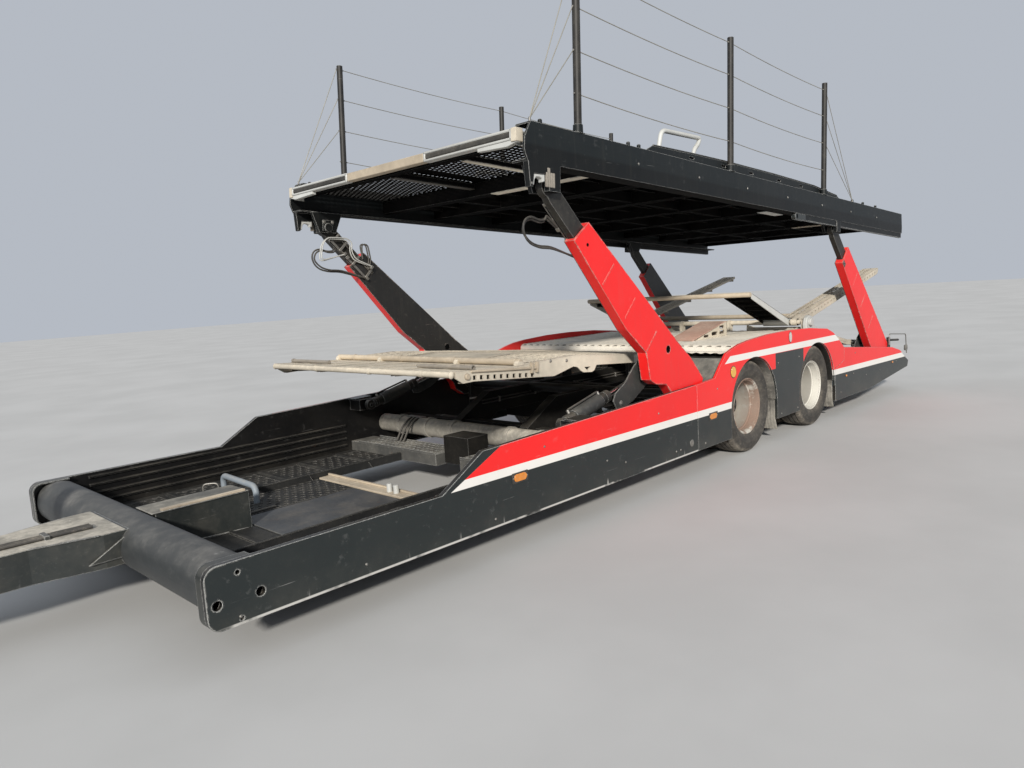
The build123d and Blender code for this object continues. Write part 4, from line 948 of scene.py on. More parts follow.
# linings of the wheel arches and shields in front of the wheels
lining = Shape("wheel_arch_linings", "chassis", "rubber", sharp=40)
for hand, _ in HANDS:
    for cx, key in ((-0.030, "flap"), (-1.318, "black")):
        angles = [math.radians(92 + 88 * k / 16) for k in range(17)]
        outer = [(cx + 0.4158 * math.cos(a), 0.385 + 0.4158 * math.sin(a)) for a in angles]
        inner = [(cx + 0.4110 * math.cos(a), 0.385 + 0.4110 * math.sin(a)) for a in angles]
        lining.use(key)
        lining.prism(outer + inner[::-1], 0.690, 1.252, lambda u, v, w, hand=hand: P(u, hand * w, v))
    lining.use("dusty_dark")
    lining.prism([(0.520, 0.610), (0.530, 0.604), (0.372, 0.828), (0.362, 0.828)], 0.900, 1.236, lambda u, v, w, hand=hand: P(u, hand * w, v), b=0.001)
    # near-black shield in front of each front wheel: an inner lining that also stands as painted shade in the opening
    # before the tyre
    lining.use("frame")
    lining.box(0.400, 0.405, 0.690, 1.236, 0.205, 0.620, lambda u, v, w, hand=hand: P(u, hand * v, w), 0.001)
    # air tank with straps
    lining.use("black")
    lining.lathe([(0.470, 0.0), (0.470, 0.070), (0.490, 0.095), (0.520, 0.102), (1.020, 0.102), (1.050, 0.095), (1.070, 0.070), (1.070, 0.0)], axes(P(1.500, 0, 0.305), (0, hand, 0)), 32, closed=False)
    lining.use("steel")
    for y in (0.60, 0.94):
        lining.lathe([(y - 0.015, 0.1018), (y - 0.015, 0.1045), (y + 0.015, 0.1045), (y + 0.015, 0.1018)], axes(P(1.500, 0, 0.305), (0, hand, 0)), 32)
lining.done()

# brackets with a thin rail over the rear corners
corner = Shape("rear_corner_rails", "chassis", "light_steel")
for hand, _ in HANDS:
    corner.use("steel")
    corner.tube(bent([P(-3.400, hand * 1.258, 0.575), P(-3.400, hand * 1.258, 0.703), P(-3.985, hand * 1.258, 0.654), P(-4.020, hand * 1.258, 0.420)], 0.035), 0.0060, 10)
    corner.use("black")
    corner.tube([P(-3.405, hand * 1.245, 0.632), P(-3.740, hand * 1.245, 0.606)], 0.0130, 12)
    corner.box(-3.450, -3.395, 0.470, 0.665, 1.225, 1.252, lambda u, v, w, hand=hand: P(u, hand * w, v), 0.003)
    corner.use("steel")
    corner.box(-4.035, -3.975, 0.455, 0.520, 1.240, 1.266, lambda u, v, w, hand=hand: P(u, hand * w, v), 0.004)
    corner.bolt(P(-4.005, hand * 1.266, 0.488), (0, hand, 0), 0.012, 0.005)
corner.done()

# the rear edge of the hood's wheel arches, a thin turned lip
arch = Shape("arch_lips", "chassis", "dark_paint").use("dark")
for hand, _ in HANDS:
    for cx in (-0.030, -1.318):
        pts = [P(cx + 0.4165 * math.cos(a), hand * 1.2645, 0.385 + 0.4165 * math.sin(a)) for a in [math.pi * i / 40 for i in range(41)]]
        arch.tube(pts, 0.0038, 8)
arch.done()

# ------------------------------------------------------------- front bay floor
bay = Shape("well_track_plates", "chassis", "galvanised").use("bay")
for hand, _ in HANDS:
    flat = lambda u, v, w, hand=hand: P(u, hand * v, w)
    # perforated tread on the track between ribs
    bay.perforated(flat, 2.300, 4.360, 0.580, 1.120, 30, 9, 0.020, 0.0135, 0.2142, 0.2200, k=2, stagger=True)
    bay.box(2.300, 4.360, 0.555, 0.580, 0.2142, 0.2215, flat, 0.001)
    bay.box(2.300, 4.360, 1.120, 1.137, 0.2142, 0.2215, flat, 0.001)
    for x in (2.47, 2.81, 3.15, 3.49, 3.83, 4.17):
        bay.prism([(x, 0.2200), (x + 0.070, 0.2200), (x + 0.052, 0.2330), (x + 0.018, 0.2330)], 0.566, 1.130, lambda u, v, w, hand=hand: P(u, hand * w, v), b=0.0015)
    # turned-up inner edge with a rolled lip and gussets
    bay.tube([P(2.30, hand * 0.558, 0.2625), P(4.36, hand * 0.558, 0.2625)], 0.0075, 10)
    for x in (2.6, 3.1, 3.6, 4.1):
        bay.prism([(0.552, 0.214), (0.500, 0.214), (0.552, 0.252)], x, x + 0.006, lambda u, v, w, hand=hand: P(w, hand * u, v))
    # long ribs on the inner face of the side panel, near black as painted shade
    bay.use("under")
    for z in (0.262, 0.318, 0.374, 0.428):
        bay.prism([(z - 0.012, 1.2385), (z - 0.006, 1.2240), (z + 0.006, 1.2240), (z + 0.012, 1.2385)], 2.34, 4.32, lambda u, v, w, hand=hand: P(w, hand * v, u))
    bay.use("bay")
bay.done()

mid_floor = Shape("well_floor_fittings", "chassis", "galvanised")
mid_floor.use("blue_plate")
# plain plate in the middle, perforated patch on its right side
mid_floor.box(3.05, 3.86, -0.10, 0.545, 0.2142, 0.2210, P, 0.0015)
mid_floor.use("bay")
mid_floor.perforated(lambda u, v, w: P(u, v, w), 3.05, 4.36, -0.548, -0.112, 22, 8, 0.018, 0.0135, 0.2142, 0.2230, k=2, stagger=True)
mid_floor.box(3.88, 4.36, 0.112, 0.545, 0.2142, 0.2200, P, 0.0015)
for x in (4.0, 4.15, 4.28):
    mid_floor.box(x, x + 0.03, 0.12, 0.54, 0.219, 0.232, P, 0.003)
mid_floor.use("tan")
mid_floor.box(2.955, 3.040, -0.545, 0.545, 0.2142, 0.2300, P, 0.003)
mid_floor.prism([(2.950, 0.200), (2.962, 0.200), (2.962, 0.245), (2.950, 0.245)], -0.548, 0.548, side, b=0.001)
mid_floor.done()

# cross beam behind the bay: perforated top with upright strips along its front and rear edges
cross = Shape("crossbeam_plates", "chassis", "dark_paint")
for hand, _ in HANDS:
    flat = lambda u, v, w, hand=hand: P(u, hand * v, w)
    cross.use("dusty_dark")
    cross.perforated(flat, 2.070, 2.282, 0.145, 1.080, 4, 17, 0.016, 0.015, 0.2902, 0.2950, k=2, stagger=False)
    cross.box(2.060, 2.068, 0.136, 1.136, 0.2850, 0.3060, flat, 0.001)
    cross.box(2.284, 2.292, 0.136, 1.136, 0.2850, 0.3020, flat, 0.001)
cross.done()

# ------------------------------------------------------------------ bogie deck
bogie = Shape("bogie_deck_plates", "chassis", "galvanised", sharp=50)
bogie.use("lip")


def ridges(u, v):
    """Rows of raised, wavy ridges across the deck."""
    phase = 2 * math.pi * (u + 0.010 * math.sin(2 * math.pi * v / 0.21) + 0.006 * math.sin(2 * math.pi * v / 0.083)) / 0.060
    return 0.9045 + 0.0062 * max(0.0, math.sin(phase)) * (0.75 + 0.25 * math.sin(2 * math.pi * v / 0.105))


bogie.waves(lambda u, v, w: P(u, v, w), -1.440, 0.078, -1.244, 1.244, 152, 118, 0.8960, ridges)
# stiffeners below the sheet
for y in (-1.2, -0.85, -0.56, 0.0, 0.56, 0.85, 1.2):
    bogie.box(-1.436, 0.095, y - 0.020, y + 0.020, 0.8810, 0.8965, P, 0.001)
for x in (-1.30, -0.98, -0.65, -0.33, 0.02):
    bogie.box(x - 0.018, x + 0.018, -1.240, 1.240, 0.8800, 0.8965, P, 0.001)
# front lip: a turned-down strip with slots on the corner and a wavy lower edge
bogie.prism([(0.070, 0.8962), (0.110, 0.8950), (0.126, 0.8880), (0.1320, 0.8740), (0.1320, 0.8600), (0.1270, 0.8600), (0.1270, 0.8730), (0.1225, 0.8840), (0.109, 0.8900), (0.070, 0.8905)],
            -1.244, 1.244, side)


def lip(u, v, w):
    return P(0.0785 + 0.052 * math.sin(v), u, 0.855 + 0.0512 * math.cos(v)) + Vector((w * math.sin(v), 0, w * math.cos(v)))


bogie.perforated(lip, -1.244, 1.244, 0.02, 1.56, 28, 1, 0.0240, 0.36, -0.001, 0.0035, k=3, power=3)
edge_line = [(-1.244 + 2.488 * i / 224, 0.8375 + 0.0045 * (1 + math.sin(2 * math.pi * i / 8))) for i in range(225)]
bogie.prism([(y, z) for y, z in edge_line] + [(1.244, 0.8600), (-1.244, 0.8600)], 0.1270, 0.1325, across)
# near-black sheet behind the lip's slots: painted shade for the hollow
bogie.use("painted_shade_void")
arc = [(0.0785 + 0.0465 * math.sin(0.157 * k), 0.855 + 0.0460 * math.cos(0.157 * k)) for k in range(11)]
bogie.prism(arc + [(0.0785, 0.8545)], -1.238, 1.238, side)
# risers on the rails
bogie.use("frame")
for x in (-0.100, -0.700, -1.380):
    for hand, _ in HANDS:
        sd = lambda u, v, w, hand=hand: P(u, hand * w, v)
        bogie.box(x - 0.040, x + 0.040, 0.651, 0.8805, 0.330, 0.338, sd, 0.001)
        bogie.box(x - 0.040, x + 0.040, 0.651, 0.8805, 0.402, 0.410, sd, 0.001)
        bogie.box(x - 0.005, x + 0.005, 0.651, 0.8805, 0.334, 0.406, sd, 0.001)
        bogie.box(x - 0.048, x + 0.048, 0.650, 0.660, 0.326, 0.414, sd, 0.002)
# wedge: sloping plate over two slotted cheeks
bogie.use("primer")
bogie.prism([(-0.262, 0.9080), (-0.256, 0.9150), (-0.862, 1.0460), (-0.905, 1.0400), (-0.903, 1.0330), (-0.866, 1.0380)], 0.300, 0.560, side)
bogie.use("galv")
WEDGE = [(-0.300, 0.906), (-0.895, 0.906), (-0.895, 1.036), (-0.862, 1.038)]
for y0, y1 in ((0.300, 0.308), (0.552, 0.560)):
    bogie.prism(WEDGE, y0, y1, side, holes=[oblong(-0.800, 0.948, 0.050, 0.018), oblong(-0.800, 0.996, 0.045, 0.014), oblong(-0.660, 0.945, 0.055, 0.016), oblong(-0.505, 0.932, 0.045, 0.011)])
bogie.prism([(0.300, 0.906), (0.560, 0.906), (0.560, 1.036), (0.300, 1.036)], -0.900, -0.893, across, holes=[ring(0.360, 0.965, 0.022, 14), ring(0.500, 0.965, 0.022, 14)])
bogie.done("bogie_deck")

# --------------------------------------------------------- hinge tube and tracks
hinge = Shape("hinge_castings", "chassis", "galvanised").use("light")
for hand, _ in HANDS:
    sd = lambda u, v, w, hand=hand: P(u, hand * w, v)
    # casting outside the standard, with its pin
    hinge.prism([(-1.415, 0.906), (-1.405, 0.972), (-1.430, 1.030), (-1.480, 1.052), (-1.540, 1.040), (-1.565, 0.990), (-1.550, 0.930), (-1.520, 0.880), (-1.430, 0.880)],
                1.0905, 1.1300, sd, b=0.006)
    hinge.lathe([(0.0, 0.0), (0.0, 0.040), (0.020, 0.040), (0.026, 0.034), (0.026, 0.0)], axes(sd(-1.490, 0.985, 1.129), (0, hand, 0)), 28, closed=False)
    # sloping side plate behind it
    hinge.prism([(-1.520, 0.885), (-1.545, 0.985), (-1.640, 0.960), (-1.985, 0.770), (-1.975, 0.700), (-1.940, 0.690)], 1.0950, 1.1010, sd, b=0.0015)
    for u, v in ((-1.60, 0.93), (-1.80, 0.82), (-1.93, 0.74)):
        hinge.bolt(sd(u, v, 1.101), (0, hand, 0), 0.008, 0.006)
hinge.done()

track = Shape("rear_track_treads", "chassis", "galvanised").use("galv")
TRACK_TOP = [(-1.525, 0.930), (-2.760, 0.668), (-3.960, 0.545)]
for hand, _ in HANDS:
    for (x0, z0), (x1, z1) in zip(TRACK_TOP, TRACK_TOP[1:]):
        length = math.hypot(x1 - x0, z1 - z0)
        d = Vector((x1 - x0, 0, z1 - z0)) / length
        up = Vector((-d.z, 0, d.x)) * -1
        count = int(length / 0.062)
        for i in range(count):
            s = (i + 0.5) / count
            base = P(x0, 0, z0) + d * (length * s)
            to = lambda u, v, w, base=base, d=d, up=up, hand=hand: base + d * u + up * v + Vector((0, hand * w, 0))
            track.prism([(-0.006, -0.0005), (0.006, -0.0005), (0.003, 0.009), (-0.003, 0.009)], 0.462, 1.003, to)
        first = x0 > -2.0
        for y, start, stop in ((0.450, 0.0, length), (1.003, 0.640 if first else 0.0, length if first else 0.840)):
            to = lambda u, v, w, x0=x0, z0=z0, d=d, up=up, hand=hand: P(x0, 0, z0) + d * u + up * v + Vector((0, hand * w, 0))
            track.box(start, stop, -0.001, 0.030, y, y + 0.012, to, 0.002)
track.done()

# -------------------------------------------------------------------- rear bed
rb = Shape("rear_bed_frame", "rear_loading_bed", "galvanised").use("galv")
for hand, _ in HANDS:
    sd = lambda u, v, w, hand=hand: bed(u, hand * w, v)
    holes = [ring(0.10 + 0.085 * i, -0.004, 0.0125, 12) for i in range(26)]
    rb.prism([(-0.030, -0.030), (0.060, -0.040), (0.700, -0.040), (2.300, -0.030), (2.338, 0.0), (2.338, 0.034), (-0.018, 0.034)], 1.002, 1.010, sd, holes=holes)
    rb.box(-0.018, 2.338, 0.026, 0.034, 0.950, 1.003, sd, 0.001)
    rb.box(0.060, 2.300, -0.036, -0.028, 0.955, 1.003, sd, 0.001)
    rb.box(-0.018, 2.300, -0.030, 0.026, 0.950, 0.957, sd, 0.001)
    # narrow perforated tread on short ribs, with a lip along its inner edge
    rb.perforated(lambda u, v, w, hand=hand: bed(u, hand * v, w), 0.065, 2.335, 0.842, 0.950, 38, 2, 0.0200, 0.0180, 0.0285, 0.0340, k=3)
    rb.box(0.065, 2.335, 0.004, 0.0300, 0.840, 0.845, sd, 0.001)
    for x in (0.090, 0.600, 1.150, 1.700, 2.290):
        rb.prism([(x - 0.004, -0.022), (x + 0.004, -0.022), (x + 0.004, 0.0286), (x - 0.004, 0.0286)], 0.845, 0.951, sd)
    rb.lathe([(0.950, 0.0), (0.950, 0.0360), (1.010, 0.0360), (1.010, 0.0)], axes(P(BED[0], 0, BED[1]), (0, hand, 0)), 28, closed=False)
rb.use("tan")
rb.tube([bed(0.250, -0.952, 0.0), bed(0.250, 0.952, 0.0)], 0.0240, 20)
rb.done("rear_bed")

# ------------------------------------------------------------------ wheel flaps
wf = Shape("wheel_flap_pair", "flap", "galvanised")
for hand, _ in HANDS:
    sd = lambda u, v, w, hand=hand: flap(u, hand * w, v)
    # sheet, cross ribs and side plates in the near-black underside material: painted shade on the flap's underside
    wf.use("under")
    wf.box(0.040, 0.872, 0.0105, 0.0145, 0.662, 0.933, sd, 0.001)
    for x in (0.12, 0.27, 0.42, 0.57, 0.72, 0.84):
        wf.box(x, x + 0.022, -0.010, 0.0106, 0.667, 0.928, sd, 0.002)
    wf.prism([(0.0, -0.030), (0.030, -0.020), (0.860, -0.020), (0.872, 0.012), (0.040, 0.012), (-0.010, 0.008)], 0.660, 0.667, sd, b=0.001)
    wf.use("galv")
    wf.box(0.045, 0.868, 0.0143, 0.0170, 0.664, 0.931, sd, 0.001)
    for i in range(12):
        x = 0.08 + i * 0.064
        wf.prism([(x, 0.0165), (x + 0.014, 0.0165), (x + 0.010, 0.0205), (x + 0.004, 0.0205)], 0.672, 0.923, sd)
    wf.use("light")
    wf.prism([(0.0, -0.034), (0.040, -0.046), (0.860, -0.030), (0.872, 0.020), (0.040, 0.020), (-0.010, 0.010)], 0.928, 0.935, sd, b=0.001)
    wf.box(0.030, 0.866, 0.0150, 0.0200, 0.905, 0.935, sd, 0.001)
    wf.lathe([(0.660, 0.0), (0.660, 0.0360), (0.935, 0.0360), (0.935, 0.0)], axes(P(BED[0], 0, BED[1]), (0, hand, 0)), 28, closed=False)
c = flap(0.890, 0, 0)
wf.use("tan")
wf.lathe([(-0.935, 0.0), (-0.935, 0.0200), (-0.931, 0.0220), (0.931, 0.0220), (0.935, 0.0200), (0.935, 0.0)], axes(c, (0, 1, 0)), 28, closed=False)
wf.done("wheel_flap")

# -------------------------------------------------------------- middle platform
TOP = [(0.0, 0.0430), (1.533, 0.0430), (1.895, 0.0080), (2.042, -0.0160), (2.588, -0.0360)]


def mid_top(x):
    """Height of the middle platform's surface along it."""
    for (xa, za), (xb, zb) in zip(TOP, TOP[1:]):
        if x <= xb:
            return za + (zb - za) * (x - xa) / (xb - xa)
    return TOP[-1][1]


mp = Shape("middle_platform_frame", "middle_platform", "galvanised").use("galv")
SIDE_PLATE = [(0.860, -0.020), (1.300, -0.026), (1.322, -0.060), (1.350, -0.073), (1.440, -0.073), (1.470, -0.062), (1.507, -0.036), (1.549, -0.031),
              (1.742, -0.088), (1.880, -0.089), (2.444, -0.094), (2.531, -0.104), (2.588, -0.074), (2.588, -0.034), (2.042, -0.014), (1.895, 0.010),
              (1.533, 0.045), (0.860, 0.045)]
for hand, _ in HANDS:
    sd = lambda u, v, w, hand=hand: mid(u, hand * w, v)
    slots = []
    for i in range(10):
        x = 2.452 - i * 0.0545
        slots.append([(x - 0.0235, -0.0842), (x, -0.0842), (x, -0.0600), (x - 0.0235, -0.0600)])
    mp.prism(SIDE_PLATE, 0.992, 1.000, sd, holes=[[(1.368, -0.036), (1.432, -0.038), (1.400, -0.060)]] + slots)
    mp.prism([(0.862, -0.018), (1.549, -0.028), (1.742, -0.084), (1.880, -0.084), (1.880, 0.004), (1.533, 0.037), (0.862, 0.037)], 0.960, 0.966, sd, b=0.001)
    mp.prism([(0.862, 0.0370), (1.530, 0.0370), (1.895, 0.0020), (2.042, -0.0220), (2.586, -0.0420), (2.586, -0.0345), (2.042, -0.0145), (1.895, 0.0095), (1.533, 0.0445), (0.862, 0.0445)],
             0.957, 0.999, sd)
    # folded lower flange
    mp.prism([(1.549, -0.031), (1.742, -0.088), (2.444, -0.094), (2.531, -0.104), (2.531, -0.100), (2.444, -0.090), (1.745, -0.084), (1.553, -0.027)], 0.955, 0.9935, sd)
    # near-black strip behind the row of slots: painted shade
    mp.use("painted_shade_void")
    mp.prism([(1.890, -0.088), (2.470, -0.092), (2.470, -0.040), (1.890, -0.030)], 0.9860, 0.9895, sd)
    # thin rail over the row of slots between two clamps, knobs at the front corner
    mp.use("tan")
    mp.tube([mid(2.470, hand * 1.006, -0.036), mid(1.905, hand * 1.006, -0.030)], 0.0085, 10)
    for x, z in ((1.962, -0.034), (1.915, -0.030)):
        mp.prism([(x - 0.008, z - 0.028), (x + 0.008, z - 0.028), (x + 0.010, z + 0.040), (x - 0.010, z + 0.040)], 0.996, 1.018, sd, b=0.002)
    mp.lathe([(0.985, 0.0), (0.985, 0.0180), (1.010, 0.0180), (1.014, 0.0150), (1.014, 0.0)], axes(mid(2.500, 0, -0.066), (0, hand, 0)), 20, closed=False)
    # short loose-fit pipe across the corner, open at its end
    mp.use("dull")
    mp.lathe([(0.500, 0.0), (0.500, 0.0125), (0.985, 0.0125), (0.985, 0.0165), (1.003, 0.0165), (1.003, 0.0105), (0.960, 0.0105), (0.960, 0.0)],
             axes(mid(2.452, 0, -0.0155), (0, hand, 0)), 20, closed=False)
    mp.use("steel")
    for x in (1.62, 1.78):
        mp.bolt(sd(x, 0.010, 1.0000), (0, hand, 0), 0.007, 0.005)
    mp.use("galv")
    # wheel tracks: perforated sheet with cleats
    tr = lambda u, v, w, hand=hand: mid(u, hand * v, w + mid_top(u))
    mp.perforated(tr, 0.860, 2.042, 0.450, 0.960, 20, 8, 0.0190, 0.0150, -0.0050, 0.0, k=2, stagger=True)
    mp.perforated(tr, 0.022, 0.860, 0.400, 0.850, 14, 7, 0.0190, 0.0150, -0.0050, 0.0, k=2, stagger=True)
    for i in range(18):
        x = 0.88 + i * 0.064
        z = mid_top(x)
        mp.prism([(x, z - 0.001), (x + 0.012, mid_top(x + 0.012) - 0.001), (x + 0.009, z + 0.004), (x + 0.003, z + 0.004)], 0.460, 0.950, sd)
    for i in range(13):
        x = 0.04 + i * 0.062
        mp.prism([(x, 0.0425), (x + 0.012, 0.0425), (x + 0.009, 0.0470), (x + 0.003, 0.0470)], 0.410, 0.840, sd)
    mp.box(0.022, 0.860, -0.030, 0.0425, 0.842, 0.850, sd, 0.001)
    # inner side members
    for y0, y1 in ((0.400, 0.407), (0.443, 0.450)):
        mp.prism([(0.092, -0.034), (0.900, -0.030), (2.588, -0.080), (2.588, -0.042), (2.042, -0.022), (1.895, 0.002), (1.530, 0.037), (0.092, 0.037)], y0, y1, sd, b=0.001)
    mp.prism([(-0.030, -0.030), (0.030, -0.036), (0.110, -0.034), (0.110, 0.037), (-0.030, 0.037)], 0.382, 0.450, sd, b=0.002)
    mp.box(0.095, 2.042, -0.0335, -0.0265, 0.401, 0.449, lambda u, v, w, hand=hand: mid(u, hand * w, v), 0.001)
    # saddles of the upper cross bar
    for y in (0.425, 0.980):
        mp.prism([(2.018, -0.020), (2.018, 0.000), (2.030, 0.014), (2.070, 0.014), (2.082, 0.000), (2.082, -0.022)], y - 0.017, y + 0.017, sd, b=0.002)
# centre sheet, front sheet and cross members
mp.prism([(0.092, 0.0425), (1.533, 0.0425), (1.895, 0.0075), (2.042, -0.0165), (2.042, -0.0205), (1.895, 0.0035), (1.533, 0.0385), (0.092, 0.0385)], -0.400, 0.400, sideways(mid))
mp.prism([(2.040, -0.0160), (2.588, -0.0360), (2.588, -0.0400), (2.040, -0.0200)], -0.957, 0.957, sideways(mid))
for y in (-0.78, -0.52, -0.26, 0.0, 0.26, 0.52, 0.78):
    mp.prism([(2.090, -0.0185), (2.575, -0.0360), (2.575, -0.0310), (2.090, -0.0135)], y - 0.016, y + 0.016, sideways(mid), b=0.001)
    mp.prism([(2.050, -0.060), (2.050, -0.020), (2.586, -0.040), (2.586, -0.072)], y + 0.10, y + 0.108, sideways(mid))
for i in range(6):
    x = 0.20 + i * 0.22
    mp.box(x, x + 0.045, -0.38, 0.38, 0.0418, 0.0460, mid, 0.0015)
for x in (0.120, 0.880, 1.250, 1.700, 2.180):
    wide = 0.960 if x > 0.8 else 0.842
    z = mid_top(x) - 0.0058 - (0.003 if x > 1.5 else 0.0)
    mp.prism([(x - 0.020, z - 0.047), (x + 0.020, z - 0.047), (x + 0.020, z), (x + 0.014, z), (x + 0.014, z - 0.041), (x - 0.014, z - 0.041), (x - 0.014, z), (x - 0.020, z)],
             -wide, wide, lambda u, v, w: mid(u, w, v))
mp.lathe([(-0.450, 0.0), (-0.450, 0.0250), (0.450, 0.0250), (0.450, 0.0)], axes(mid(0, 0, 0), (0, 1, 0)), 24, closed=False)
mp.done("mid_platform")

bars = Shape("platform_front_bars", "middle_platform", "galvanised")
bars.use("galv")
bars.lathe([(-0.985, 0.0), (-0.985, 0.0180), (0.985, 0.0180), (0.985, 0.0)], axes(mid(2.606, 0, -0.054), (0, 1, 0)), 28, closed=False)
for y in (-0.985, 0.985):
    bars.lathe([(y - 0.0145 + 0.029 * k / 8, 0.0225 * math.sin(math.pi * k / 8)) for k in range(9)], axes(mid(2.606, 0, -0.054), (0, 1, 0)), 20, closed=False)
for y in (-0.42, 0.20, 0.72):
    bars.lathe([(y - 0.016, 0.0175), (y - 0.012, 0.0215), (y + 0.012, 0.0215), (y + 0.016, 0.0175)], axes(mid(2.606, 0, -0.054), (0, 1, 0)), 24)
bars.use("tan")
bars.lathe([(-0.996, 0.0), (-0.996, 0.0150), (-0.990, 0.0200), (0.990, 0.0200), (0.996, 0.0150), (0.996, 0.0)], axes(mid(2.050, 0, 0.008), (0, 1, 0)), 28, closed=False)
for y in (-0.770, -0.190, 0.390, 0.955):
    bars.lathe([(y - 0.012, 0.0195), (y - 0.010, 0.0235), (y + 0.010, 0.0235), (y + 0.012, 0.0195)], axes(mid(2.050, 0, 0.008), (0, 1, 0)), 24)
bars.done("platform_bars")

# ------------------------------------------------------------------ upper deck
# the deck's underside sheet in the near-black underside material: painted shade
skin = Shape("deck_floor", "upper_deck", "galvanised", sharp=30).use("under")
ZONES = {1: [(2.590, 2.520, None), (2.520, 1.780, 9), (1.780, -1.880, None), (-1.880, -2.560, 8), (-2.560, -2.630, None), (-2.630, -3.250, 7), (-3.250, -3.805, None)],
         -1: [(2.590, 2.520, None), (2.520, 1.780, 9), (1.780, 1.690, None), (1.690, 1.280, 5), (1.280, -1.880, None), (-1.880, -2.560, 8), (-2.560, -2.630, None),
              (-2.630, -3.250, 7), (-3.250, -3.805, None)]}
skin.box(-3.805, 2.590, -0.0600, 0.0600, 0.1645, 0.1690, deck, 0.001)
for hand, _ in HANDS:
    flat = lambda u, v, w, hand=hand: deck(u, hand * v, w)
    for x1, x0, cells in ZONES[hand]:
        if cells:
            skin.perforated(flat, x0, x1, 0.060, 1.240, cells * 2, 24, 0.0135, 0.0125, 0.1660, 0.1690, k=2, stagger=True)
        else:
            # sheet with pressed ribs along the deck
            top, low = [], []
            steps = 20
            for i in range(steps):
                y0 = 0.060 + 1.180 * i / steps
                d = 1.180 / steps
                top += [(y0, 0.1690), (y0 + d * 0.42, 0.1690), (y0 + d * 0.52, 0.1635), (y0 + d * 0.90, 0.1635)]
            top.append((1.240, 0.1690))
            low = [(y, z - 0.0030) for y, z in top]
            skin.prism(top + low[::-1], x0, x1, lambda u, v, w, hand=hand: deck(w, hand * u, v))
skin.done("deck_plates")

ribs = Shape("deck_underside_members", "upper_deck", "dark_paint")


def strip(y, x0, x1, depth, wide, key, hand=1):
    """A rib below the sheet with a flange on its lower edge."""
    ribs.use(key)
    z0 = 0.1615 - depth
    ribs.prism([(y - 0.003, 0.1655), (y + 0.003, 0.1655), (y + 0.003, z0 + 0.005), (y + wide, z0 + 0.005), (y + wide, z0), (y - 0.003, z0)],
               x0, x1, lambda u, v, w: deck(w, hand * u, v))


# the front bay: one light-coloured flange as painted light and one darker flange, then the ribs of the rest of the deck
strip(0.604, 1.765, 2.515, 0.050, 0.048, "painted_light")
strip(-0.124, 1.765, 2.515, 0.050, 0.048, "galv_dark")
for hand, _ in HANDS:
    for y in (0.110, 0.636, 0.900, 1.130):
        for a, b in zip((1.695, 1.115, 0.365, -0.385, -1.135, -1.885, -2.635, -3.335), (1.185, 0.435, -0.315, -1.065, -1.815, -2.565, -3.265, -3.745)):
            strip(y, b, a, 0.045, 0.030, "under", hand)
# flange strips under the cross members; the near half of the front one is light-coloured as painted light, its far half
# near black as painted shade
for x, key, y0, y1 in ((1.730, "painted_light", 0.100, 1.140), (1.730, "under", -1.140, 0.098), (1.150, "under", -1.14, 1.14), (0.400, "under", -1.14, 1.14),
                       (-0.350, "under", -1.14, 1.14), (-1.100, "under", -1.14, 1.14), (-1.850, "under", -1.14, 1.14), (-2.600, "under", -1.14, 0.480),
                       (-2.600, "tan", 0.490, 0.960), (-3.300, "under", -1.14, 1.14)):
    ribs.use(key)
    ribs.box(x - 0.040, x + 0.040, y0, y1, 0.0540, 0.0605, deck, 0.001)
ribs.use("under")
for x in (1.440, 0.775, 0.025, -0.725, -1.475):
    ribs.prism([(x - 0.003, 0.1655), (x + 0.003, 0.1655), (x + 0.003, 0.120), (x + 0.030, 0.120), (x + 0.030, 0.114), (x - 0.003, 0.114)], -1.245, 1.245, lambda u, v, w: deck(u, w, v))
ribs.done()

front = Shape("deck_front_edge", "upper_deck", "light_steel")
front.use("tan")
front.box(-0.430, 0.410, 0.122, 0.178, 2.615, 2.668, lambda u, v, w: deck(w, u, v), 0.004)
front.use("dark")
front.box(-1.225, 1.225, 0.1405, 0.1585, 2.5905, 2.616, lambda u, v, w: deck(w, u, v), 0.001)
for y0, y1 in ((0.415, 1.190), (-1.190, -0.435)):
    front.use("light")
    # frame round the rubber strip
    sec = lambda u, v, w: deck(w, u, v)
    front.box(y0, y1, 0.166, 0.182, 2.613, 2.671, sec, 0.006)
    front.box(y0, y1, 0.120, 0.134, 2.613, 2.671, sec, 0.005)
    for s in (y0, y1 - 0.020):
        front.box(s, s + 0.020, 0.120, 0.182, 2.613, 2.671, sec, 0.005)
    front.box(y0 + 0.01, y1 - 0.01, 0.130, 0.170, 2.613, 2.625, sec, 0.001)
    front.use("rubber")
    front.prism([(2.624, 0.136), (2.664, 0.136), (2.669, 0.142), (2.6700, 0.151), (2.669, 0.160), (2.664, 0.164), (2.624, 0.164)], y0 + 0.022, y1 - 0.022, sideways(deck), b=0.001)
# end brackets
front.use("light")
for hand, _ in HANDS:
    front.prism([(0.905, 0.124), (0.905, 0.098), (1.150, 0.088), (1.222, 0.104), (1.222, 0.124)], 2.630, 2.664, lambda u, v, w, hand=hand: deck(w, hand * u, v), b=0.002)
    front.prism([(2.560, 0.090), (2.640, 0.092), (2.665, 0.112), (2.665, 0.176), (2.560, 0.176)], 1.196, 1.204, lambda u, v, w, hand=hand: deck(u, hand * w, v), b=0.001)
    front.use("galv")
    front.box(1.184, 1.226, 0.108, 0.184, 2.613, 2.672, lambda u, v, w, hand=hand: deck(w, hand * u, v), 0.003)
    front.use("light")
front.done("deck_front_lip")

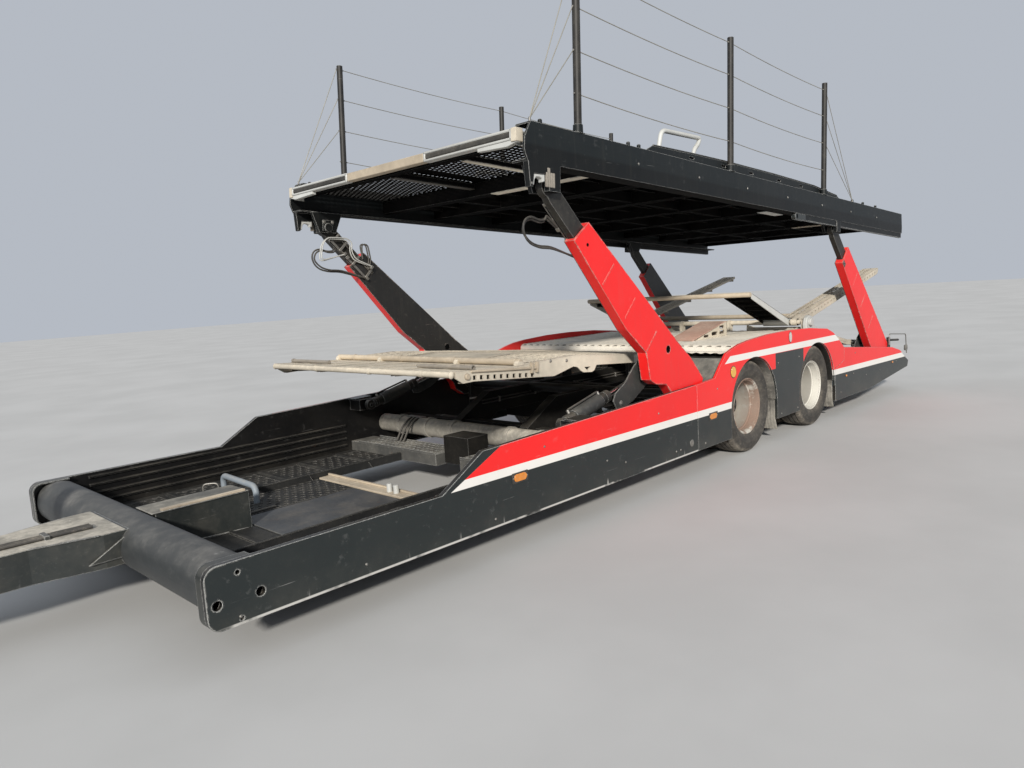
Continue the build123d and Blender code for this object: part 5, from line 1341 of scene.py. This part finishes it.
boards = Shape("deck_edge_boards", "upper_deck", "dark_paint").use("deck_dark")
BOARD = [(1.420, 0.0), (1.290, 0.062), (0.770, 0.076), (0.300, 0.084), (-0.560, 0.086), (-1.410, 0.078), (-1.970, 0.040), (-2.080, 0.0)]
for hand, _ in HANDS:
    sd = lambda u, v, w, hand=hand: deck(u, hand * w, v)
    holes = [oblong(x, 0.2640, 0.034, 0.0085, 12) for x in (0.786, 0.313, -0.148, -0.665, -1.118, -1.566)]
    boards.prism([(x, 0.2225 + h) for x, h in BOARD], 1.2080, 1.2120, sd, holes=holes)
    # near-black patches behind the board's holes: painted shade
    boards.use("painted_shade_void")
    for x in (0.786, 0.313, -0.148, -0.665, -1.118, -1.566):
        boards.box(x - 0.045, x + 0.045, 0.2480, 0.2790, 1.2060, 1.2078, sd, 0.0)
    boards.use("deck_dark")
    boards.tube([sd(x, 0.2225 + h, 1.210) for x, h in BOARD[1:-1]], 0.0055, 8)
    # fold at the foot of the board
    boards.prism([(1.2080, 0.2225), (1.2500, 0.2225), (1.2500, 0.2265), (1.2120, 0.2285)], -2.06, 1.40, lambda u, v, w, hand=hand: deck(w, hand * u, v))
boards.done("deck_boards")

# posts keep their node: collars, eyes and the taut safety ropes
post = Shape("post_fittings", "upper_deck", "black_paint")
POSTS = [(2.146, 1.000), (0.263, 1.010), (-1.562, 1.035)]
LEVELS = (0.23, 0.48, 0.73, 0.97)
for hand, _ in HANDS:
    post.use("deck_dark")
    for x, h in POSTS:
        to = lambda d, u, v, x=x, hand=hand: deck(x + u, hand * 1.243 + v, 0.223 + d)
        post.lathe([(0.0, 0.0242), (0.0, 0.0320), (0.050, 0.0300), (0.055, 0.0242)], to, 24)
        post.box(x - 0.045, x + 0.045, 0.2230, 0.2290, 1.2150, 1.2640, lambda u, v, w, hand=hand: deck(u, hand * w, v), 0.001)
    post.use("steel")
    for x, h in POSTS:
        for level in LEVELS:
            to = axes(deck(x, hand * 1.243, 0.223 + level), deck(1, 0, 0) - deck(0, 0, 0))
            post.lathe([(-0.034, 0.0), (-0.034, 0.0055), (-0.0235, 0.0055), (-0.0235, 0.0)], to, 8, closed=False)
            post.lathe([(0.0235, 0.0), (0.0235, 0.0055), (0.034, 0.0055), (0.034, 0.0)], to, 8, closed=False)
    post.use("cable")
    for level in LEVELS:
        for (xa, _), (xb, _) in zip(POSTS, POSTS[1:]):
            a, b = deck(xa - 0.030, hand * 1.243, 0.223 + level), deck(xb + 0.030, hand * 1.243, 0.223 + level)
            path = []
            for i in range(9):
                t = i / 8
                p = a.lerp(b, t)
                p.z -= 0.014 * 4 * t * (1 - t)
                path.append(p)
            post.tube(path, 0.0028, 6)
    # down to an eye at each end of the deck
    for xa, xb, levels in ((POSTS[-1][0] - 0.030, -2.30, LEVELS[1:]), (POSTS[0][0] + 0.030, 2.575, LEVELS[1:])):
        for level in levels:
            post.tube([deck(xa, hand * 1.243, 0.223 + level), deck(xb, hand * 1.243, 0.240)], 0.0028, 6)
    post.use("steel")
    for xb in (-2.30, 2.575):
        post.tube([deck(xb, hand * 1.243, 0.220), deck(xb, hand * 1.243, 0.248)], 0.007, 8)
post.done()

# hoop on the deck and other fittings along the beams
fit = Shape("deck_fittings", "upper_deck", "light_steel")
fit.use("light")
fit.tube(bent([deck(0.915, 1.00, 0.168), deck(0.905, 1.00, 0.330), deck(0.860, 1.00, 0.492), deck(0.310, 1.00, 0.515), deck(0.330, 1.00, 0.470), deck(0.410, 1.00, 0.400), deck(0.412, 1.00, 0.168)], 0.055), 0.0175, 14)
for x in (0.915, 0.412):
    fit.box(x - 0.05, x + 0.05, 0.96, 1.04, 0.1685, 0.1760, deck, 0.002)
    fit.box(x - 0.05, x + 0.05, -1.04, -0.96, 0.1685, 0.1760, deck, 0.002)
fit.tube(bent([deck(0.915, -1.00, 0.168), deck(0.905, -1.00, 0.330), deck(0.860, -1.00, 0.492), deck(0.310, -1.00, 0.515), deck(0.330, -1.00, 0.470), deck(0.410, -1.00, 0.400), deck(0.412, -1.00, 0.168)], 0.055), 0.0175, 14)
for hand, _ in HANDS:
    sd = lambda u, v, w, hand=hand: deck(u, hand * w, v)
    fit.use("deck_dark")
    # small pegs and hooks on the top flange
    for x in (1.62, 1.50, -2.32, -2.62, -3.0, 2.48):
        fit.lathe([(0.0, 0.0), (0.0, 0.013), (0.026, 0.013), (0.031, 0.009), (0.031, 0.0)], lambda d, a, b, x=x, hand=hand: deck(x + a, hand * 1.235 + b, 0.2225 + d), 14, closed=False)
    # slide rail shoe with its round end
    fit.use("dark")
    fit.box(-1.10, -0.905, -0.056, -0.001, 1.2300, 1.2670, sd, 0.003)
    fit.lathe([(1.2300, 0.0), (1.2300, 0.0275), (1.2670, 0.0275), (1.2670, 0.0)], axes(deck(-0.905, 0, -0.0285), (0, hand, 0)), 24, closed=False)
    fit.box(-3.78, -1.12, -0.0555, -0.0480, 1.2365, 1.2650, sd, 0.002)
    fit.use("light")
    fit.box(-0.90, -0.56, -0.006, -0.0005, 1.060, 1.145, sd, 0.001)
    # pivot hardware of the front pin
    fit.use("deck_dark")
    px, pz = 2.400, 0.014 - 2.400 * math.tan(TILT)
    u = 2.400 * math.cos(TILT) + 0.014 * math.sin(TILT)
    v = -2.400 * math.sin(TILT) + 0.014 * math.cos(TILT)
    fit.lathe([(1.1150, 0.0), (1.1150, 0.034), (1.1340, 0.034), (1.1340, 0.0)], axes(deck(u, 0, v), (0, hand, 0)), 24, closed=False)
    fit.box(u - 0.055, u + 0.050, v - 0.030, v + 0.060, 1.1225, 1.1338, sd, 0.004)
    # grooved block and a forked casting round the head of the sliding tube
    fit.use("dull")
    for k in range(4):
        x = 2.3985 + 0.0192 * k
        fit.box(x, x + 0.0172, -0.130, -0.046, 1.2640, 1.2720, sd, 0.003)
    fit.box(2.3990, 2.4750, -0.128, -0.048, 1.2600, 1.2660, sd, 0.001)
    fit.box(2.4380, 2.4600, -0.050, -0.020, 1.2640, 1.2710, sd, 0.002)
    fit.use("light")
    fit.prism([(2.600, -0.066), (2.480, -0.058), (2.480, -0.100), (2.498, -0.104), (2.505, -0.086), (2.525, -0.078), (2.552, -0.080), (2.566, -0.098), (2.572, -0.128), (2.592, -0.128)],
              1.2300, 1.2640, sd, b=0.003)
    fit.use("steel")
    fit.bolt(sd(2.595, -0.120, 1.2640), (0, hand, 0), 0.008, 0.005)
    for a, b in ((-0.040, 0.045), (0.036, 0.045)):
        fit.bolt(sd(u + a, v + b, 1.1225), (0, -hand, 0), 0.009, 0.007)
    for x in (1.55, 0.78, 0.03, -0.72, -1.47, -2.2, -2.95):
        fit.bolt(sd(x, 0.116, 1.2685), (0, hand, 0), 0.0065, 0.003)
fit.done()

# ------------------------------------------------------------- arms and rams
for name, place, body, high in (("front", front_arm, "front_arm_pair", 1.66), ("rear", rear_arm, "rear_arm_pair", 1.655)):
    arm = Shape(name + "_arm_fittings", body, "red_paint")
    for hand, _ in HANDS:
        sd = lambda u, v, w, place=place, hand=hand: place(u, hand * w, v)
        foot = place(0, 0, 0)
        # pivot cap on the rear arms
        arm.use("arm")
        arm.lathe([(1.2345, 0.0), (1.2345, 0.068), (1.2380, 0.068), (1.2395, 0.062), (1.2395, 0.0)], axes(foot, (0, hand, 0)), 32, closed=False) if name == "rear" else None
        arm.use("steel")
        # on the rear arms, a guide pad and its screws round the mouth of the sleeve
        top = high if name == "rear" else 1.500
        if name == "rear":
            arm.use("black")
            arm.box(top - 0.070, top - 0.006, -0.112, -0.066, 1.2340, 1.2385, sd, 0.001)
            arm.use("steel")
            for x in (top - 0.055, top - 0.022):
                arm.bolt(sd(x, -0.090, 1.2380), (0, hand, 0), 0.006, 0.003)
        # weld along the slot's cover plates
        arm.use("arm")
        for x in (0.62, 0.96, 1.28):
            arm.box(x, x + 0.012, -0.09, 0.09, 1.2340, 1.2365, sd, 0.001)
    arm.done()

hoses = Shape("front_arm_lines", "front_tube_pair", "rubber")
LOOP = [(2.351, 1.899), (2.361, 1.872), (2.416, 1.868), (2.484, 1.890), (2.538, 1.871), (2.559, 1.820), (2.538, 1.774), (2.497, 1.740), (2.420, 1.717), (2.321, 1.716)]
FAR_LOOP = [(2.500, 1.800), (2.469, 1.929), (2.425, 1.982), (2.330, 1.982), (2.235, 1.975), (2.190, 1.940), (2.205, 1.880), (2.175, 1.810)]
for hand, _ in HANDS:
    tb = lambda u, v, w, hand=hand: front_arm(u, hand * w, v)
    # guide strip on the tube's inner side, which slides past the sleeve
    hoses.use("steel")
    hoses.box(1.470, 1.944, -0.057, -0.037, 1.1475, 1.1515, tb, 0.001)
    hoses.box(1.926, 1.944, -0.057, -0.037, 1.1475, 1.1695, tb, 0.002)
    hoses.box(1.905, 1.920, 0.012, 0.046, 1.1405, 1.1695, tb, 0.002)
    for x in (1.50, 1.66, 1.82):
        hoses.box(x - 0.010, x + 0.010, -0.058, 0.046, 1.1400, 1.1530, tb, 0.002)
    for x in (1.490, 1.740):
        hoses.box(x - 0.014, x + 0.014, -0.060, -0.038, 1.1240, 1.1532, tb, 0.002)
    # a bent line from the upper clamp round to the lower one, in two strands
    for k in range(2):
        hoses.use("hose")
        grow, y = 0.011 * (0.5 - k), 1.1465 - 0.014 * k
        loop = [P(x + grow * (1 if x > 2.42 else 0.3), hand * y, z + grow * (1 if z > 1.80 else -1)) for x, z in LOOP]
        hoses.tube(bent([tb(1.740, -0.047, y)] + loop + [tb(1.490, -0.050, y)], 0.05, 3), 0.0068, 8)
    if hand < 0:
        hoses.use("steel")
        hoses.box(1.770, 1.790, -0.064, -0.038, 1.1130, 1.1530, tb, 0.002)
        hoses.box(1.510, 1.530, 0.030, 0.064, 1.1130, 1.1530, tb, 0.002)
        hoses.use("light")
        for k in range(2):
            loop = [P(x + 0.012 * k, -1.118 - 0.010 * k, z - 0.010 * k) for x, z in FAR_LOOP]
            hoses.tube(bent([tb(1.78, -0.056, 1.118 + 0.010 * k)] + loop + [tb(1.52, 0.056, 1.118 + 0.010 * k)], 0.05, 3), 0.0050, 8)
        hoses.use("galv_dark")
        for k in range(2):
            loop = [P(x + 0.020 * k, -1.1465, z) for x, z in ((2.080, 1.930), (2.020, 1.930), (1.998, 1.790), (2.030, 1.730))]
            hoses.tube(bent([tb(1.62, 0.050, 1.1465)] + loop + [tb(1.50, 0.050, 1.1465)], 0.04, 3), 0.0062, 8)
    hoses.use("hose")
    for off in (0.0, 0.018):
        hoses.tube([tb(1.47, 0.020 + off, 1.1470), tb(1.912, 0.020 + off, 1.1470)], 0.0062, 8)
hoses.done()

# near-black linings in the arms' holes: painted shade
ends = Shape("arm_hole_linings", "front_arm_pair", "black_paint").use("painted_shade_void")
for hand, _ in HANDS:
    ends.lathe([(1.1535, 0.0), (1.1535, 0.0290), (1.1560, 0.0290), (1.1560, 0.0268), (1.233, 0.0268), (1.233, 0.0250), (1.203, 0.0250), (1.203, 0.0)],
               axes(P(1.215, 0, 0.988), (0, hand, 0)), 24, closed=False)
    ends.lathe([(1.2345, 0.0), (1.2345, 0.0110), (1.2358, 0.0110), (1.2358, 0.0)], axes(P(2.081, 0, 1.722), (0, hand, 0)), 18, closed=False)
ends.done()

RAM = math.atan2(0.200, -0.840)
for name, base, b_body, r_body in (("front", (2.200, 0.600), "front_barrels", "front_rods"), ("rear", (-2.080, 0.420), "rear_barrels", "rear_rods")):
    d = Vector((math.cos(RAM), 0, math.sin(RAM)))
    o = P(base[0], 0, base[1])
    g = Shape(name + "_ram_glands", b_body, "black_paint")
    for hand, _ in HANDS:
        c = o + Vector((0, hand * 1.050, 0))
        g.use("black")
        g.lathe([(0.455, 0.0186), (0.455, 0.0430), (0.500, 0.0430), (0.504, 0.0400), (0.504, 0.0186)], axes(c, d), 28)
        g.lathe([(0.045, 0.0381), (0.045, 0.0410), (0.070, 0.0410), (0.070, 0.0381)], axes(c, d), 28)
        g.use("lever")
        g.lathe([(0.120, 0.0381), (0.120, 0.0480), (0.128, 0.0490), (0.400, 0.0490), (0.408, 0.0480), (0.408, 0.0381)], axes(c, d), 32)
        g.use("black")
        g.use("steel")
        to = axes(c, d)
        for s, a in ((0.100, 1.2), (0.430, 1.2)):
            g.tube([to(s, 0.036 * math.cos(a), 0.036 * math.sin(a)), to(s, 0.060 * math.cos(a), 0.060 * math.sin(a))], 0.011, 10)
        g.use("hose")
        g.tube([to(0.100, 0.060 * math.cos(1.2), 0.060 * math.sin(1.2)), to(0.430, 0.060 * math.cos(1.2), 0.060 * math.sin(1.2))], 0.0075, 8)
    g.done()
    g = Shape(name + "_ram_rod_ends", r_body, "dark_paint").use("lever")
    for hand, _ in HANDS:
        n = Vector((-d.z, 0, d.x))
        to = lambda u, v, w, hand=hand: o + d * u + n * v + Vector((0, hand * w, 0))
        g.prism([(0.905, 0.060), (0.700, 0.112), (0.560, 0.118), (0.500, 0.095), (0.482, 0.030), (0.520, -0.012), (0.640, -0.040), (0.790, -0.120), (0.850, -0.138),
                 (0.890, -0.120), (0.912, -0.040)], 1.101, 1.112, to, b=0.002)
        g.prism([(0.830, -0.050), (0.890, -0.034), (0.908, 0.0), (0.890, 0.034), (0.830, 0.050)], 1.0125, 1.101, to, b=0.004)
        g.use("steel")
        g.lathe([(1.112, 0.0), (1.112, 0.028), (1.120, 0.026), (1.120, 0.0)], axes(o + d * 0.8635, (0, hand, 0)), 20, closed=False)
        g.bolt(to(0.560, 0.075, 1.112), (0, hand, 0), 0.012, 0.008)
        g.use("lever")
    g.done()

# ------------------------------------------------------------------- drawbar
draw = Shape("drawbar_fittings", "chassis", "dark_paint")
draw.use("torsion")
draw.prism([(4.600, -0.262), (4.700, -0.262), (5.000, -0.192), (5.400, -0.192), (6.380, -0.087), (6.515, -0.087), (6.515, 0.087), (6.380, 0.087), (5.400, 0.192), (5.000, 0.192), (4.700, 0.262), (4.600, 0.262)],
           0.4300, 0.4350, lambda u, v, w: P(u, v, w), b=0.001)
draw.use("dark")
for hand, _ in HANDS:
    draw.weld(P(4.72, hand * 0.262, 0.431), P(5.0, hand * 0.193, 0.431))
    draw.prism([(4.610, 0.300), (4.610, 0.400), (4.780, 0.300)], 0.262, 0.272, lambda u, v, w, hand=hand: P(u, hand * w, v))
draw.use("steel")
for y in (-0.055, 0.055):
    for z in (0.300, 0.400):
        draw.bolt(P(6.545, y, z), (1, 0, 0), 0.012, 0.009)
# jack crank with its housing and a plate on top of the jack
draw.use("dark")
draw.box(5.250 - 0.052, 5.250 + 0.052, -0.327, -0.223, 0.8600, 0.8680, P, 0.002)
draw.box(5.210, 5.290, -0.345, -0.322, 0.740, 0.830, P, 0.004)
draw.use("steel")
draw.tube(bent([P(5.250, -0.345, 0.790), P(5.250, -0.420, 0.790), P(5.250, -0.420, 0.600), P(5.250, -0.500, 0.600)], 0.012), 0.0085, 10)
draw.use("rubber")
draw.tube([P(5.250, -0.470, 0.600), P(5.250, -0.560, 0.600)], 0.0150, 12)
# pipes and couplings along the drawbar
draw.use("hose")
for k, y in enumerate((0.060, 0.085, 0.110)):
    draw.tube(bent([P(4.70, y, 0.4445), P(5.6, y * 0.8, 0.4445), P(6.30, y * 0.6, 0.4445)], 0.08), 0.0085, 8)
draw.use("dark")
for x in (4.9, 5.4, 5.9, 6.28):
    draw.box(x - 0.012, x + 0.012, 0.028, 0.125, 0.4345, 0.4560, P, 0.002)
for k, (y, key) in enumerate(((0.040, "rusty"), (0.075, "steel"))):
    draw.use(key)
    draw.lathe([(0.0, 0.0), (0.0, 0.022), (0.020, 0.024), (0.045, 0.018), (0.050, 0.0)], axes(P(6.30, y * 0.8, 0.460), (0.8, 0, 0.6)), 18, closed=False)
draw.done()

spine = Shape("spine_fittings", "chassis", "dark_paint").use("dusty_dark")
spine.box(3.882, 4.42, -0.112, 0.112, 0.4285, 0.4360, P, 0.002)
for hand, _ in HANDS:
    spine.prism([(3.90, 0.222), (4.36, 0.222), (4.36, 0.30), (4.20, 0.236)], 0.1055, 0.1135, lambda u, v, w, hand=hand: P(u, hand * w, v), b=0.001)
# light tan bar along the spine's top edge; its light colour is a painted highlight of that edge
spine.use("tan")
spine.box(3.900, 4.365, 0.080, 0.112, 0.4350, 0.4470, P, 0.002)
spine.use("hose")
for k, y in enumerate((-0.124, -0.138)):
    spine.tube(bent([P(4.34, y, 0.300), P(3.96, y, 0.300), P(3.90, y, 0.228), P(3.60, y - 0.01, 0.228)], 0.05), 0.0075, 8)
spine.done()

# tube handle, pins and rods lying fixed in the bay
well = Shape("well_fittings", "chassis", "light_steel").use("blue_grey")
well.tube(bent([P(3.62, -0.34, 0.222), P(3.62, -0.34, 0.330), P(3.62, -0.80, 0.345), P(3.62, -0.80, 0.222)], 0.05), 0.0200, 14)
well.use("steel")
well.tube(bent([P(3.66, -0.80, 0.222), P(3.66, -0.80, 0.300), P(3.74, -0.86, 0.300), P(3.74, -0.86, 0.222)], 0.03), 0.006, 8)
well.use("light")
for y in (0.235, 0.305):
    well.lathe([(0.0, 0.0), (0.0, 0.019), (0.052, 0.019), (0.056, 0.015), (0.056, 0.0)], lambda d, a, b, y=y: P(2.995 + a, y + b, 0.229 + d), 18, closed=False)
well.done()

# hose bundle and collars at the torsion tube
tors = Shape("torsion_fittings", "chassis", "rubber").use("hose")
for k in range(3):
    y = -0.74 - 0.045 * k
    tors.tube(bent([P(2.12, y, 0.296), P(2.04, y, 0.420), P(1.93, y, 0.4790), P(1.80, y, 0.420)], 0.06), 0.0085, 8)
tors.use("steel")
tors.box(1.895, 1.945, -0.90, -0.70, 0.4665, 0.4740, P, 0.002)
tors.use("torsion")
for y in (-0.62, 0.62):
    tors.lathe([(y - 0.02, 0.0752), (y - 0.02, 0.083), (y + 0.02, 0.083), (y + 0.02, 0.0752)], axes(P(1.920, 0, 0.392), (0, 1, 0)), 32)
tors.done()

# --------------------------------------------------------------- underbody
under = Shape("air_bags_and_chambers", "chassis", "black_paint")
for cx in (0.0, -1.310):
    for hand, _ in HANDS:
        # bellows between trailing arm and rail
        c = lambda d, a, b, cx=cx, hand=hand: P(cx - 0.430 + a, hand * 0.370 + b, 0.325 + d)
        under.use("rubber")
        under.lathe([(0.020, 0.0), (0.020, 0.062), (0.028, 0.092), (0.045, 0.1050), (0.068, 0.1030), (0.078, 0.0930), (0.088, 0.1030), (0.112, 0.1050), (0.130, 0.0930), (0.136, 0.070), (0.136, 0.0)], c, 36, closed=False)
        under.use("steel")
        under.lathe([(0.134, 0.0), (0.134, 0.080), (0.1445, 0.080), (0.1445, 0.0)], c, 28, closed=False)
        under.lathe([(0.0005, 0.0), (0.0005, 0.060), (0.022, 0.066), (0.022, 0.0)], c, 28, closed=False)
        under.lathe([(0.0760, 0.0940), (0.0760, 0.0975), (0.0810, 0.0975), (0.0810, 0.0940)], c, 32)
        under.use("frame")
        # trailing arm, hanger with pin, U bolts, damper
        sd = lambda u, v, w, hand=hand: P(u, hand * w, v)
        under.prism([(cx - 0.560, 0.300), (cx - 0.200, 0.292), (cx + 0.080, 0.290), (cx + 0.470, 0.320), (cx + 0.505, 0.350), (cx + 0.480, 0.385), (cx + 0.430, 0.380), (cx + 0.080, 0.3245), (cx - 0.560, 0.3245)],
                    0.340, 0.400, sd, b=0.003)
        for y0, y1 in ((0.328, 0.338), (0.402, 0.412)):
            under.prism([(cx + 0.400, 0.470), (cx + 0.560, 0.470), (cx + 0.530, 0.320), (cx + 0.490, 0.292), (cx + 0.445, 0.310)], y0, y1, sd, b=0.001)
        under.use("steel")
        under.lathe([(0.318, 0.0), (0.318, 0.020), (0.422, 0.020), (0.422, 0.0)], axes(P(cx + 0.480, 0, 0.345), (0, hand, 0)), 16, closed=False)
        for x in (cx - 0.085, cx + 0.085):
            for y in (0.348, 0.392):
                under.tube([P(x, hand * y, 0.280), P(x, hand * y, 0.455)], 0.0085, 8)
            under.bolt(P(x, hand * 0.348, 0.282), (0, 0, -1), 0.013, 0.012)
            under.bolt(P(x, hand * 0.392, 0.282), (0, 0, -1), 0.013, 0.012)
        under.use("black")
        under.tube([P(cx - 0.260, hand * 0.440, 0.340), P(cx - 0.120, hand * 0.440, 0.520)], 0.028, 16)
        under.tube([P(cx - 0.120, hand * 0.440, 0.520), P(cx - 0.040, hand * 0.440, 0.622)], 0.020, 14)
        # brake chamber with its clamp band
        ch = axes(P(cx - 0.150, hand * 0.505, 0.388), (1, 0, 0))
        under.lathe([(-0.045, 0.0), (-0.045, 0.040), (-0.030, 0.058), (0.0, 0.066), (0.020, 0.066), (0.040, 0.060), (0.100, 0.056), (0.110, 0.044), (0.110, 0.0)], ch, 32, closed=False)
        under.use("steel")
        under.lathe([(-0.004, 0.0655), (-0.004, 0.0705), (0.014, 0.0705), (0.014, 0.0655)], ch, 32)
        under.tube([P(cx - 0.055, hand * 0.505, 0.388), P(cx + 0.020, hand * 0.600, 0.388)], 0.010, 10)
under.done("suspension")

tanks = Shape("brake_lines", "chassis", "black_paint").use("hose")
for hand, _ in HANDS:
    for k, z in enumerate((0.560, 0.585)):
        tanks.tube(bent([P(1.60, hand * 0.322, z), P(0.60, hand * 0.322, z), P(-1.70, hand * 0.322, z)], 0.05), 0.0065, 8)
tanks.use("steel")
for hand, _ in HANDS:
    for x in (1.4, 0.95, 0.4, -0.25, -0.95, -1.5):
        tanks.box(x - 0.008, x + 0.008, 0.550, 0.595, 0.312, 0.331, lambda u, v, w, hand=hand: P(u, hand * w, v), 0.001)
tanks.done()

# --------------------------------------------------------------------- rear
tail = Shape("tail_lamps", "chassis", "lamp_lens")
back = lambda u, v, w: P(w, u, v)
for hand, _ in HANDS:
    b2 = lambda u, v, w, hand=hand: P(w, hand * u, v)
    tail.use("bezel")
    tail.box(0.704, 1.132, 0.309, 0.431, -4.0595, -3.988, b2, 0.006)
    for y0, y1, key in ((0.720, 0.800, "clear_lens"), (0.810, 0.920, "red_lens"), (0.930, 1.020, "red_lens"), (1.030, 1.118, "amber")):
        tail.use(key)
        tail.box(y0, y1, 0.325, 0.415, -4.0600, -4.050, b2, 0.0015)
    tail.use("rubber")
    tail.box(0.560, 0.640, 0.300, 0.440, -4.030, -3.988, b2, 0.010)
tail.use("plate")
tail.box(-0.255, 0.255, 0.322, 0.428, -4.0215, -4.019, back, 0.001)
tail.use("steel")
for y in (-0.2, 0.2):
    tail.bolt(P(-4.0215, y, 0.400), (-1, 0, 0), 0.005, 0.002)
tail.use("bezel")
for y in (-0.16, 0.16):
    tail.box(y - 0.04, y + 0.04, 0.4300, 0.4420, -4.050, -3.990, back, 0.003)
tail.done()

# --------------------------------------------------------------------- camera
cam_data = bpy.data.cameras.new("camera")
cam_data.sensor_width = 36.0
cam_data.lens = 748.4 / 1024.0 * 36.0
cam_data.clip_start = 0.05
cam_data.clip_end = 200.0
cam = bpy.data.objects.new("camera", cam_data)
bpy.context.scene.collection.objects.link(cam)
right = Vector((-0.6929, 0.7184, -0.0623)).normalized()
rear = Vector((0.7087, 0.6944, 0.1246))
rear = (rear - right * rear.dot(right)).normalized()
up = rear.cross(right)
cam.matrix_world = Matrix.Translation(P(5.793, 4.144, 1.476)) @ Matrix((right, up, rear)).transposed().to_4x4()
bpy.context.scene.camera = cam

# --------------------------------------------------------------- floor, light
floor_mesh = bpy.data.meshes.new("floor")
floor_mesh.from_pydata([(-60, -60, -0.0005), (60, -60, -0.0005), (60, 60, -0.0005), (-60, 60, -0.0005)], [], [(0, 1, 2, 3)])
floor = bpy.data.objects.new("floor", floor_mesh)
bpy.context.scene.collection.objects.link(floor)
fl = Net("floor_grey")
fl.set(color=fl.mix(fl.ramp(fl.noise(0.7, 4), 0.3, 0.7), (0.47, 0.47, 0.46), (0.52, 0.52, 0.51)), rough=0.9)
floor_mesh.materials.append(fl.mat)

world = bpy.data.worlds.new("world")
world.use_nodes = True
world.node_tree.nodes["Background"].inputs[0].default_value = (0.84, 0.90, 1.0, 1.0)
world.node_tree.nodes["Background"].inputs[1].default_value = 0.55
bpy.context.scene.world = world
bpy.context.scene.view_settings.view_transform = "Standard"

sun = bpy.data.lights.new("key", "SUN")
sun.energy = 4.2
sun.angle = math.radians(4.0)
sun.color = (1.0, 0.95, 0.88)
sun_obj = bpy.data.objects.new("key", sun)
sun_obj.rotation_euler = (-Vector((0.80, 0.66, 0.46))).to_track_quat("-Z", "Y").to_euler()
bpy.context.scene.collection.objects.link(sun_obj)
